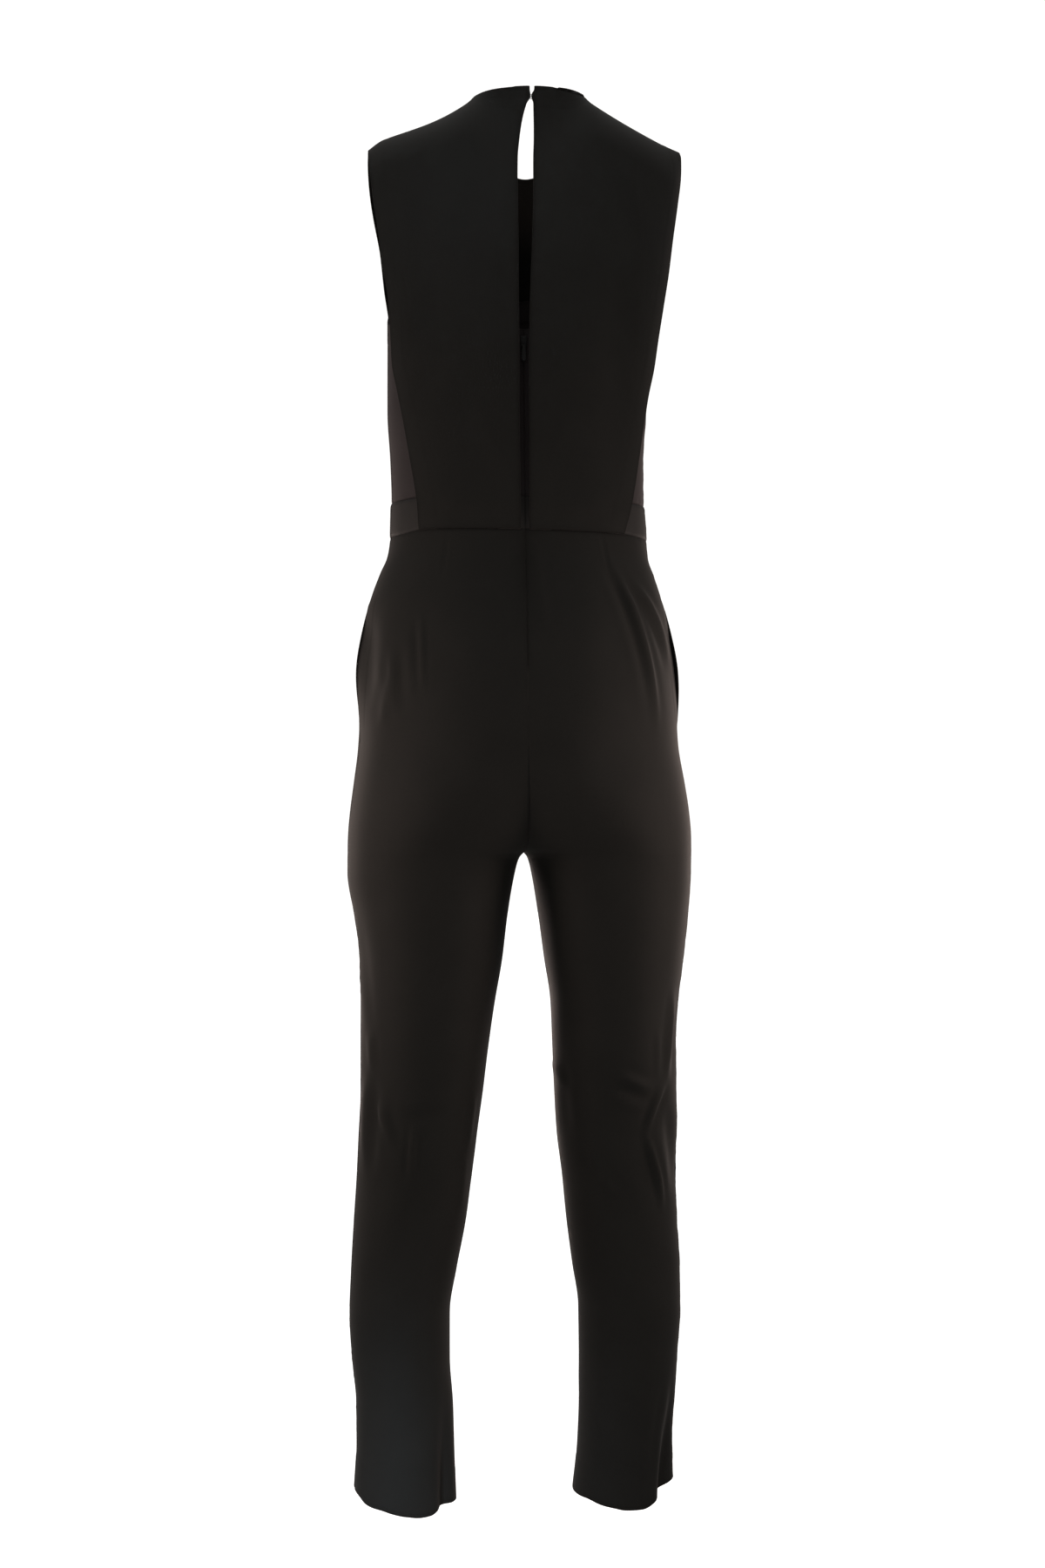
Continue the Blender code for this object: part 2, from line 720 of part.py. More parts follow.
def make_zip(tape_finish, metal):
    """The tape lies inside the centre back seam.  The slider stays closed at its top, outside,
    and the pull tab's bar turns behind the slider's bridge."""
    heights = [mix(ZIP_TOP, ZIP_END, share) for share in shares(14)]

    def tape(across, height):
        x = centre_x(height) + across * ZIP_TAPE_WIDTH / 2
        return Vector((x, back_depth(x, height) - WALL - 0.9, height))

    cloth("zip_tape", tape, (-1, -0.5, 0, 0.5, 1), heights, tape_finish, wall=TAPE_WALL)

    middle = ZIP_TOP - SLIDER_LENGTH / 2 - 1
    x = centre_x(middle)
    face = back_depth(x, middle) + SEAM + SLIDER_DEPTH
    place = Vector((x, face, middle))
    slider = prism("zip_slider", SLIDER_SIDE, SLIDER_WIDTH / 2, place, metal)
    bridge = prism("zip_bridge", BRIDGE_SIDE, BRIDGE_WIDTH / 2, place, metal)
    bridge.hide_render = True
    bridge.display_type = "WIRE"
    union = slider.modifiers.new("bridge", "BOOLEAN")
    union.operation = "UNION"
    union.object = bridge

    pull = plate_with_hole("zip_pull_tab", TAB_SIDE, TAB_HOLE, TAB_WALL, metal)
    pull.location = (place + Vector((0, TAB_AXIS_OUT, TAB_AXIS_UP))) * MM


def make_neck_hook(metal):
    """A wire hook inside the left panel passes through an eye inside the right one."""
    left, right = EDGES.read(HOOK_HEIGHT, "left_slit", "right_slit")
    inside = NECK_BACK - WALL - SEAM - HOOK_WIRE - 1.2
    eye = Vector((-right + 0.2, inside - 1.0, HOOK_HEIGHT))
    ring = [
        eye + Vector((EYE_RADIUS * math.cos(turn), 0, EYE_RADIUS * math.sin(turn)))
        for turn in (2 * math.pi * k / 16 for k in range(16))
    ]
    wire("neck_eye", ring, EYE_WIRE, metal, closed=True)
    bend_x = eye.x + EYE_RADIUS - EYE_WIRE - HOOK_WIRE - SEAM
    bend = [
        Vector((bend_x - 0.1, inside - 1.0, HOOK_HEIGHT))
        + Vector((0.35 - 1.0 * math.sin(turn), math.cos(turn), 0))
        for turn in (math.pi * k / 8 for k in range(9))
    ]
    start = Vector((left + 4.0, inside, HOOK_HEIGHT))
    end = Vector((left + 1.5, inside - 2.0, HOOK_HEIGHT))
    wire("neck_hook", [start, *bend, end], HOOK_WIRE, metal)


def main():
    for old in list(bpy.data.objects):
        bpy.data.objects.remove(old)
    crepe = material("black_crepe", (0.012, 0.011, 0.010), 0.82)
    lining = material("bodice_crepe", (0.014, 0.012, 0.012), 0.7)
    satin = material("waistband_satin", (0.02, 0.018, 0.017), 0.45)
    make_overlay(crepe)
    make_bodice(lining)
    make_waistband(satin)
    make_trousers(crepe)
    make_pockets(lining)
    metal = material("black_metal", (0.02, 0.02, 0.02), 0.35, 1.0)
    tape = material("zip_tape", (0.012, 0.012, 0.012), 0.8)
    make_zip(tape, metal)
    make_neck_hook(metal)


main()
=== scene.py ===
# %% [markdown]
# # A sleeveless jumpsuit, worn, with no wearer in it
#
# The jumpsuit has three layers.  Tapered trousers and a strapless bodice meet at a satin-faced
# waistband, and over the bodice hangs a loose overlay with a high neck.  The overlay's back is
# two free panels with a slit between them, held together by one hook and eye.
#
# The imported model, which the first code cell loads, says where every piece is.  This lesson makes
# the fine surface of each piece around it: thin cloth with its folds, seams, hems and grain, the
# zip with its teeth, and the small metal parts.

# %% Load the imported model
import math
from collections import namedtuple
from functools import partial

import bmesh
import bpy
import numpy as np
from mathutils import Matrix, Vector


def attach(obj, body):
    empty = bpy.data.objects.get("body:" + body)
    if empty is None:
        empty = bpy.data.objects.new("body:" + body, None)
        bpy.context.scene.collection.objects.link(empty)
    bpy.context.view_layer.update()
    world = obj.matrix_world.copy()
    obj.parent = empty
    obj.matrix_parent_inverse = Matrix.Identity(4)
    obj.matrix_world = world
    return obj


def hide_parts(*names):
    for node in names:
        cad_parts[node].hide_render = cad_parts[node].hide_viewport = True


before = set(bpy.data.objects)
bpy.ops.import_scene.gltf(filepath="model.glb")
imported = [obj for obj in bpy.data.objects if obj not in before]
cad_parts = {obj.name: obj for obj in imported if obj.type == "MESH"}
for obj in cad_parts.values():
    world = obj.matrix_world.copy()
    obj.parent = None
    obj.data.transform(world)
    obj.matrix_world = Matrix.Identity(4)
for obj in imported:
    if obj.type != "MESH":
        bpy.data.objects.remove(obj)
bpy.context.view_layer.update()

print("pieces in the packed model:", ", ".join(sorted(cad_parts)))

# %% [markdown]
# ## The view, the floor and the light
#
# The garment is looked at from behind, at the height of its middle, from a little to its left.
# The wearer faces -Y, so the camera stands at +Y.  It is aimed level, so upright lines stay
# upright.
#
# Black cloth shows its shape almost only by what its edges catch from the side.  So the room's
# light comes softly from its ceiling, and small warm lights stand close on both sides, at the
# height of the hips.  One more shines between the legs, and two narrow cool ones reach the left
# shoulder and the left hem.  The camera itself sees a plain white room and a plain pale floor: a
# Light Path node tells the world and the floor which rays are the camera's.

# %% Camera
MM = 0.001
VIEW_TARGET = Vector((-0.0033, 0.0, -0.664))
VIEW_DISTANCE = 2.6
VIEW_TURN = math.radians(4.0)  # towards the wearer's left
PIXEL = 0.00085  # metres that one pixel covers at the garment's middle, in a picture 1800 high
PICTURE_HEIGHT = 1800
SENSOR = 36.0


def add_object(name, data):
    made = bpy.data.objects.new(name, data)
    bpy.context.scene.collection.objects.link(made)
    return made


def add_camera():
    made = bpy.data.cameras.new("camera")
    made.sensor_fit = "VERTICAL"
    made.sensor_height = SENSOR
    made.lens = SENSOR * VIEW_DISTANCE / (PIXEL * PICTURE_HEIGHT)
    made.clip_end = 60
    holder = add_object("camera", made)
    back = Vector((math.sin(VIEW_TURN), math.cos(VIEW_TURN), 0))
    holder.location = VIEW_TARGET + VIEW_DISTANCE * back
    holder.rotation_euler = (math.radians(90), 0, math.pi - VIEW_TURN)
    bpy.context.scene.camera = holder
    return holder


camera = add_camera()
print("camera lens", round(camera.data.lens, 2), "mm at", [round(x, 3) for x in camera.location])


# %% Nodes and materials
def set_inputs(tree, node, values):
    """Give a node's inputs, by name or number, plain values or other nodes' outputs."""
    for key, value in values.items():
        if isinstance(value, bpy.types.NodeSocket):
            tree.links.new(value, node.inputs[key])
        else:
            node.inputs[key].default_value = value


def add_node(tree, kind, values=(), **settings):
    """Add a node and give back its outputs.  Values for its inputs are in order, or named."""
    made = tree.nodes.new(kind)
    for name, setting in settings.items():
        setattr(made, name, setting)
    set_inputs(tree, made, values if isinstance(values, dict) else dict(enumerate(values)))
    return made.outputs


def math_node(tree, operation, *values):
    """One sum on numbers or other nodes' outputs."""
    return add_node(tree, "ShaderNodeMath", values, operation=operation)[0]


def soft_step(tree, value, low, high, from_value, to_value):
    """A value that eases from one number to another as another value passes from low to high."""
    values = (value, low, high, from_value, to_value)
    return add_node(tree, "ShaderNodeMapRange", values, interpolation_type="SMOOTHSTEP")[0]


def new_material(name):
    made = bpy.data.materials.new(name)
    made.use_nodes = True
    return made, made.node_tree


# %% Floor
FLOOR_HEIGHT, FLOOR_RADIUS = -1.46, 14.0
FLOOR_COLOUR, FLOOR_ROUGHNESS = (0.6, 0.595, 0.585, 1), 0.85
FLOOR_GLOW = 0.92  # bright enough, for the camera alone, to show as plain white


def add_floor():
    mesh = bpy.data.meshes.new("floor")
    shape = bmesh.new()
    bmesh.ops.create_circle(shape, cap_ends=True, radius=FLOOR_RADIUS, segments=96)
    bmesh.ops.translate(shape, verts=shape.verts, vec=(0, 0, FLOOR_HEIGHT))
    shape.to_mesh(mesh)
    shape.free()
    pale, tree = new_material("pale_floor")
    seen = add_node(tree, "ShaderNodeLightPath")["Is Camera Ray"]
    values = {
        "Base Color": FLOOR_COLOUR,
        "Roughness": FLOOR_ROUGHNESS,
        "Emission Color": (1, 1, 1, 1),
        "Emission Strength": math_node(tree, "MULTIPLY", seen, FLOOR_GLOW),
    }
    set_inputs(tree, tree.nodes["Principled BSDF"], values)
    mesh.materials.append(pale)
    add_object("floor", mesh)


add_floor()
print("floor at", FLOOR_HEIGHT, "m")

# %% World
WHITE = 1.12
WALLS, CEILING = (-0.9, 0.8, 0.12, 0.18), (0.15, 0.85, 0.0, 0.58)  # from, to, and how bright there


def make_world():
    made = bpy.data.worlds.new("studio")
    made.use_nodes = True
    tree = made.node_tree
    generated = add_node(tree, "ShaderNodeTexCoord")["Generated"]
    _, back, up = add_node(tree, "ShaderNodeSeparateXYZ", (generated,))
    room = math_node(tree, "ADD", soft_step(tree, back, *WALLS), soft_step(tree, up, *CEILING))
    seen = add_node(tree, "ShaderNodeLightPath")["Is Camera Ray"]
    strength = math_node(tree, "MAXIMUM", room, math_node(tree, "MULTIPLY", seen, WHITE))
    values = {"Strength": strength, "Color": (1.0, 0.985, 0.97, 1)}
    set_inputs(tree, tree.nodes["Background"], values)
    bpy.context.scene.world = made


make_world()
bpy.context.scene.view_settings.view_transform = "Standard"
print("world:", bpy.context.scene.world.name)


# %% Lights
def add_soft_light(name, place, aim, size, power, colour, spread=180):
    light = bpy.data.lights.new(name, "AREA")
    light.size = size
    light.energy = power
    light.color = colour
    light.spread = math.radians(spread)
    made = add_object(name, light)
    made.location = place
    made.rotation_euler = (Vector(place) - Vector(aim)).to_track_quat("Z", "Y").to_euler()
    made.visible_camera = False


WARM, COOL, PLAIN = (1.0, 0.8, 0.72), (0.75, 0.87, 1.0), (1.0, 1.0, 1.0)
LIGHTS = (
    # name, place, what it is aimed at, size, power, colour and, where it is narrow, spread
    ("side_left", (0.7, 0.2, -0.7), (0, 0, -0.7), 0.35, 1.12, WARM, 110),
    ("side_right", (-0.7, 0.2, -0.7), (0, 0, -0.72), 0.35, 1.15, WARM, 100),
    ("rim_left", (0.65, -0.65, -0.68), (0, 0, -0.68), 0.35, 2.7, WARM),
    ("rim_right", (-0.65, -0.65, -0.68), (0, 0, -0.68), 0.35, 3.2, WARM),
    ("upper_left", (1.3, 2.6, 0.5), (0.05, 0.09, -0.06), 0.25, 0.056, COOL, 9),
    ("lower_left", (0.45, 0.9, -1.38), (0.11, 0.05, -1.33), 0.15, 0.13, COOL, 25),
    ("between_legs", (0.22, -0.8, -0.95), (-0.04, 0, -0.95), 0.3, 0.17, WARM, 40),
    ("fill", (0.6, 2.35, -0.9), (0, 0, -0.8), 0.8, 1, PLAIN),
)
for light in LIGHTS:
    add_soft_light(*light)
print("lights:", ", ".join(name for name, *_ in LIGHTS))

# %% [markdown]
# ## Reading the garment's sizes
#
# A pattern cutter writes a garment as a few measures at named heights.  The tables below say the
# same thing, in millimetres: how wide and deep each layer is at each height.  Between two rows
# the size follows a smooth curve that never swings past them, so a waist stays the narrowest
# place.  Half widths are given for the wearer's left and right apart, because worn cloth is never
# quite the same on both sides.


# %% Smooth tables
class Table:
    """Sizes in named columns.  The first column is the place along the garment."""

    def __init__(self, names, *rows):
        columns = np.array(sorted(rows), float).T
        self.places = columns[0]
        self.columns = dict(zip(names.split(), columns))

    def read(self, place, *names):
        found = [smooth(self.places, self.columns[name], place) for name in names]
        return found if len(found) > 1 else found[0]


def smooth(xs, ys, x):
    """Read a curve through the points (xs, ys) that never overshoots them, at every x."""
    x = np.clip(x, xs[0], xs[-1])
    steps = np.diff(ys) / np.diff(xs)
    before, after = steps[:-1], steps[1:]
    same_way = before * after > 0
    total = np.where(same_way, before + after, 1.0)
    slopes = np.concatenate(
        ([steps[0]], np.where(same_way, 2 * before * after / total, 0.0), [steps[-1]])
    )
    i = np.clip(np.searchsorted(xs, x), 1, len(xs) - 1)
    h = xs[i] - xs[i - 1]
    u = (x - xs[i - 1]) / h
    return (
        ys[i - 1] * (1 + 2 * u) * (1 - u) ** 2
        + ys[i] * u * u * (3 - 2 * u)
        + h * slopes[i - 1] * u * (1 - u) ** 2
        + h * slopes[i] * u * u * (u - 1)
    )


def ease(u):
    """0 to 1 with soft ends."""
    u = np.clip(u, 0.0, 1.0)
    return u * u * (3 - 2 * u)


def mix(a, b, share):
    return a + (b - a) * share


SIDES = {1: "left", -1: "right"}
halfway = Table("place size", (0, 10), (1, 20)).read(0.5, "size")
print("a table reads", halfway, "halfway from 10 to 20")

# %% Heights, and the bodice
ROUNDNESS = 2.2  # power of the rounded sections: 2 is an ellipse, more is squarer
WAIST, BAND_HEIGHT, CROTCH, HEM = -423.0, 31.0, -731.0, -1345.0
KNEE = -1174.0  # from here down the rows begin to follow the hem
WAIST_TILT = 0.018
TILT_TOP, TILT_TOP_FADE, TILT_END, TILT_END_FADE = -80.0, 250.0, -620.0, 180.0
SIDE_DROOP = {1: 4.5, -1: 1.8}  # how much lower the waist seam lies at each side
DROOP_FROM, DROOP_OVER, DROOP_FADE = 88.0, 36.0, 42.0
ZIP_LEAN, CROTCH_LEAN = 1.8, -3.6
LEAN_FROM, LEAN_OVER = -600.0, 130.0  # where the lean at the crotch begins, and over how much
ZIP_TOP, ZIP_END = -241.0, -562.0
SIDE_SEAM = math.radians(6)

# The bodice's half widths to the wearer's left and right, and its depths.
TORSO = Table(
    "height left right back front",
    (-160, 129.5, 130, 92, 106),
    (-222, 128.5, 129, 89, 112),
    (-264, 128.2, 127, 88, 113),
    (-307, 128, 124, 86.5, 104),
    (-350, 125.4, 121, 85, 95),
    (-391, 124.2, 121.2, 85, 91),
    (-423, 125, 123.2, 86, 92),
)
CUP_RISE, CUP_X, CUP_HEIGHT, CUP_RADIUS = 15.0, 76.0, -248.0, 43.0
CUP_FULL = 0.7  # share of the front's depth from which a cup stands out fully
TOP_EDGE = Table("share height", *zip(
    (0, 0.25, 0.5, 0.63, 0.76, 0.88, 1),
    (-236, -230, -221, -196, -169, -167, -177),
))
width = round(sum(TORSO.read(WAIST, "left", "right")))
print("the bodice is", width, "mm wide at the waist")

# %% Sizes of the trousers
# How far out each half's outer and inner side are, its depths, and how far back it stands.  Above
# the crotch the inner side is the body's other side.
LEGS = Table(
    "height left_out left_in right_in right_out back front left_y right_y",
    (-423, 125, -123.2, -125, 123.2, 86, 92, 0, 0),
    (-443, 128.8, -126, -128.8, 126, 90, 94.5, 0, 0),
    (-460, 135.5, -132, -135.5, 132, 95, 97, 0, 0),
    (-494, 146, -141, -145, 141.5, 106, 101, 0, 0),
    (-528, 149.5, -144, -148, 144.8, 116, 104.5, 0, 0),
    (-562, 153, -144, -147, 148.5, 123, 106, 0, 0),
    (-596, 155, -137, -140, 152.2, 127.5, 106.5, 0, 0),
    (-630, 157.1, -121, -123, 154.9, 129, 105, 0, 0),
    (-664, 161.5, -90, -90, 160.4, 127, 102, 1, 1),
    (-690, 165, -60, -57, 164.5, 121, 99, 1, 1),
    (-712, 167, -31, -26, 166.7, 112, 96, 2, 2),
    (-725, 167.4, -12, -5, 167.2, 105, 93.5, 2, 2),
    (-731, 167.4, -3, 4.2, 167.3, 102, 92, 2, 2),
    (-736, 167.5, 0.8, 8, 167.3, 100, 91, 2, 2),
    (-749, 167.5, 4.5, 11.7, 167.3, 97, 89.5, 2, 2),
    (-791, 160.8, 12.2, 18.9, 164.9, 92, 85, 3, 1),
    (-834, 155.2, 17.6, 24.5, 160.2, 86.5, 80, 3, 0),
    (-876, 154.5, 24.6, 30.6, 155.2, 81.5, 75, 4, -1),
    (-919, 154.7, 30.2, 32.8, 153.4, 77, 70, 4, -2),
    (-961, 154.7, 35.3, 35, 154.3, 71, 66, 5, -4),
    (-1004, 156.5, 41.6, 37.8, 154.9, 66, 62, 6, -6),
    (-1046, 158.2, 47.2, 42.8, 154.5, 61.5, 59, 8, -6),
    (-1089, 161, 53.4, 46.7, 155.5, 58.5, 56, 12, -5),
    (-1131, 163.7, 61.5, 52.2, 157.9, 57, 54, 17, -4),
    (-1174, 165.5, 68.4, 58.6, 158, 56, 52, 22, -2),
    (-1216, 163, 68.7, 58.9, 154.8, 54, 51, 25, -1),
    (-1259, 158.7, 65.7, 58, 152, 52, 50, 27, 0),
    (-1301, 158.4, 64.6, 57, 149.5, 50.5, 49.5, 29, 0),
    (-1345, 161, 63, 52.4, 150.4, 50, 49, 30, 0),
)
HEM_SHAPE = {  # how far the hem is above its mean height, round the leg: 0 is outside, 90 behind
    1: Table("angle rise", *zip(
        (-180, -135, -90, -45, 0, 27, 39, 50, 63, 75, 90, 103, 116, 130, 150, 180),
        (-4.6, 1, 12, 10, 7.5, 3.3, -1.2, -3.2, -4.6, -7.2, -10, -11.4, -10.6, -7.5, -4.4, -4.6),
    )),
    -1: Table("angle rise", *zip(
        (-180, -135, -90, -45, 0, 20, 40, 60, 75, 90, 104, 118, 141, 157, 180),
        (-6.5, 1, 13, 10, 6.5, 3.5, -3, -11.5, -15.6, -16, -14, -12, -7.5, -7, -6.5),
    )),
}
HEM_TUCK = {1: (141, 12, 0.15), -1: (38, 13, 0.21)}  # angle and breadth of a fold, and its depth
TUCK_TOP, TUCK_FADE = -1222.0, 125.0
POCKET_TOP, POCKET_END, POCKET_DEPTH = -482.0, -614.0, -690.0
MOUTH_ENDS, BACK_LONGER = 1.4, 0.7  # powers: less is blunter
# How far the mouth's front edge stands away and curls out, then how far its back edge stands
# away on each side, and beside each the share of the panel that it takes.
POCKET_OUT = ((3.8, 0.4), (3.4, 0.07))
BACK_OUT = {1: ((5.6, 0.25),), -1: ((3.2, 0.25),)}
print("inside leg", round((CROTCH - HEM) / 10, 1), "cm")

# %% Sizes of the overlay
NECK_HEIGHT, NECK_MIDDLE, NECK_HALF_WIDTH = 2.4, -9.7, 56.0
NECK_BACK, NECK_FRONT, NECK_FRONT_DROP, NECK_BACK_DIP = 61.0, 58.0, 64.0, 1.3
FRONT_EDGE_IN = 4.0  # how much nearer the middle the front's armholes are than the back's
FRONT_EDGE_FROM, FRONT_EDGE_OVER = -60.0, 80.0
NECK_SWAY = 260.0  # how far below the neck the front's middle line has come back to the centre
HANGS_AT_EDGE, HANGS_IN_MIDDLE = 8.0, 560.0  # how soon a panel leaves the line of its top edge
RIDGE_Y = -3.0  # of the shoulder seams
NECK_SHARE = 0.36  # share of an overlay panel's top edge that is neckline, not shoulder seam
SQUARENESS = {1: 2.4, -1: 2.8}  # of its section behind and in front
TURN_AT_NECK = {1: 150.0, -1: 85.0}  # how far below the neckline it hangs free, behind and before
TURN_AT_SHOULDER = 46.0
TURN_START, TURN_FINISH = (2.0, 1.4), (0.5, 1.0)  # powers at the shoulder and at the neck
# The overlay's depths behind and in front, and how far out each section would come to its end.
OVERLAY = Table(
    "height back back_span front front_span",
    (-423, 89, 129, 95.5, 129),
    (-360, 94, 129, 110, 134),
    (-300, 99, 133, 126, 140),
    (-245, 102, 140, 132, 146),
    (-180, 101.5, 148, 119, 152),
    (-120, 94, 155, 97, 156),
    (-60, 80, 160, 73, 160),
    (0, 62, 162, 62, 162),
)
# How far from the middle each back panel of the overlay begins and ends.
EDGES = Table(
    "height left_slit right_slit left right",
    (-423, 4.8, 4.1, 99.5, 96.6),
    (-392, 5.5, 4.1, 102.4, 104.1),
    (-353, 6.4, 3.9, 109, 110.8),
    (-321, 7, 3.6, 114.8, 115.8),
    (-290, 7.3, 3.4, 121, 120.8),
    (-264, 7.4, 3.3, 125.8, 126.6),
    (-239, 7.5, 3.4, 127, 130.2),
    (-205, 7.8, 4.1, 128.9, 136.2),
    (-171, 8, 5.4, 134.3, 142.6),
    (-137, 8, 6.9, 138.4, 147.6),
    (-103, 7.8, 8.2, 143.5, 153.2),
    (-69, 6.9, 9, 146.6, 157.8),
    (-52, 5.2, 9.8, 147.4, 158.2),
    (-34, 2.6, 10.1, 147.2, 157),
    (-16, -2, 10, 147.2, 157),
    (-8, -6, 8.2, 147.2, 157),
    (0, -5.2, 11, 147.2, 157),
)
# The shoulder seams, from the neckline out to the armhole.
SHOULDER = Table(
    "share left left_z right right_z",
    (0, 46.3, 2.4, 65.7, 2.4),
    (0.12, 56, -6.5, 76, -5.5),
    (0.35, 80, -20, 97, -18),
    (0.6, 107, -30, 118, -29.2),
    (0.85, 134, -39.5, 142, -40),
    (1, 147.2, -49, 157, -45),
)
print("neck to waist", round((NECK_HEIGHT - WAIST) / 10, 1), "cm")

# %% [markdown]
# ## The shape of each layer
#
# Each function takes two numbers for every point of a piece: a share across it and a height on
# it.  It gives back the point on the cloth's outer face.  Working on whole arrays at once keeps
# this quick, so the grids can be fine enough for soft folds.  A real cutter would drape the cloth
# on a figure and mark it, and these sections are those marks.


# %% Rounded sections
def rounded(angle, half, back, front):
    """A point of a rounded section about its own middle: 0 is the outer side, 90 the back."""
    c, s = np.cos(angle), np.sin(angle)
    x = half * np.copysign(np.abs(c) ** (2 / ROUNDNESS), c)
    y = np.where(s > 0, back, front) * np.copysign(np.abs(s) ** (2 / ROUNDNESS), s)
    return x, y


def end_angle(middle, half, cut):
    """The angle at which a rounded section crosses x = cut, or half a turn if it doesn't."""
    reach = (middle - cut) / half
    inside = np.clip(reach, -1, 1)
    angle = np.arccos(-np.copysign(np.abs(inside) ** (ROUNDNESS / 2), inside))
    return np.where(reach >= 1, math.pi, angle)


def swell(value, middle, breadth):
    """1 at the middle, and softly down to 0 on both sides."""
    return np.exp(-(((value - middle) / breadth) ** 2))


def worn_height(x, height):
    """The waist is worn a little higher on the left and droops at the sides, and that fades
    above and below it."""
    tilt = WAIST_TILT * x * ease((TILT_TOP - height) / TILT_TOP_FADE)
    tilt = tilt * ease((height - TILT_END) / TILT_END_FADE)
    droop = np.where(x > 0, *SIDE_DROOP.values()) * ease((np.abs(x) - DROOP_FROM) / DROOP_OVER)
    return height + tilt - droop * swell(height, WAIST, DROOP_FADE)


def centre_x(height):
    """x of the centre back seam, which leans a little."""
    above = ZIP_LEAN * ease((height - WAIST) / (ZIP_TOP - WAIST))
    below = CROTCH_LEAN * ease((LEAN_FROM - height) / LEAN_OVER)
    return np.where(height > WAIST, above, below)


# %% The bodice's outer face
def bodice_skin(side, share, height):
    """The bodice's outer face: share 0 is the centre back, 0.5 the side, 1 the centre front."""
    left, right, back, front = TORSO.read(height, "left", "right", "back", "front")
    middle = side * (left - right) / 2
    half = (left + right) / 2
    end = end_angle(middle, half, side * centre_x(height))
    behind, before = mix(end, SIDE_SEAM, share * 2), mix(SIDE_SEAM, -end, share * 2 - 1)
    angle = np.where(share < 0.5, behind, before)
    x, y = rounded(angle, half, back, front)
    x = x + middle
    away = ((x - CUP_X) / CUP_RADIUS) ** 2 + ((height - CUP_HEIGHT) / CUP_RADIUS) ** 2
    cup = CUP_RISE * np.exp(-away) * np.clip(-y / (CUP_FULL * front), 0, 1)
    return np.stack((side * x, y - cup, worn_height(side * x, height)), -1)


# %% The trousers' outer face
def trouser_skin(side, share, height):
    """The trousers' outer face: share 0 is the side seam, 1 the centre back and inner seam, and
    -1 the centre front and inner seam."""
    name = SIDES[side]
    out, inner, back, front, shift = LEGS.read(
        height, name + "_out", name + "_in", "back", "front", name + "_y"
    )
    middle, half = (out + inner) / 2, (out - inner) / 2
    end = end_angle(middle, half, side * centre_x(height))
    angle = mix(SIDE_SEAM, np.copysign(end, share), np.abs(share))
    x, y = rounded(angle, half, back, front)
    degrees = np.degrees(angle)
    rise = ease((KNEE - height) / (KNEE - HEM)) * HEM_SHAPE[side].read(degrees, "rise")
    place, breadth, depth = HEM_TUCK[side]
    tuck = depth * swell(degrees, place, breadth) * ease((TUCK_TOP - height) / TUCK_FADE)
    x, y = x * (1 - tuck), y * (1 - tuck)
    x = side * (x + middle)
    return np.stack((x, y + shift, worn_height(x, height) + rise), -1)


def mouth(height):
    """How open the pocket mouth is: 0 at its ends, 1 halfway."""
    u = (height - POCKET_END) / (POCKET_TOP - POCKET_END)
    return np.sin(math.pi * np.clip(u, 0, 1)) ** MOUTH_ENDS


def trouser_panel(side, face, share, height):
    """One panel, with its pocket edge held away from the body at the front, or drawn in."""
    point = trouser_skin(side, face * np.maximum(share, 1e-6), height)
    longer, away = (1, POCKET_OUT) if face < 0 else (BACK_LONGER, BACK_OUT[side])
    lift = sum(out * (1 - np.minimum(share / breadth, 1)) ** 2 for out, breadth in away)
    point[..., 0] += side * lift * mouth(height) ** longer
    return point


hips = trouser_skin(1, np.linspace(-1, 1, 400), np.full(400, -630.0))
hip = np.linalg.norm(np.diff(hips, axis=0), axis=1).sum()
print("hip of the left half", round(float(hip)), "mm")


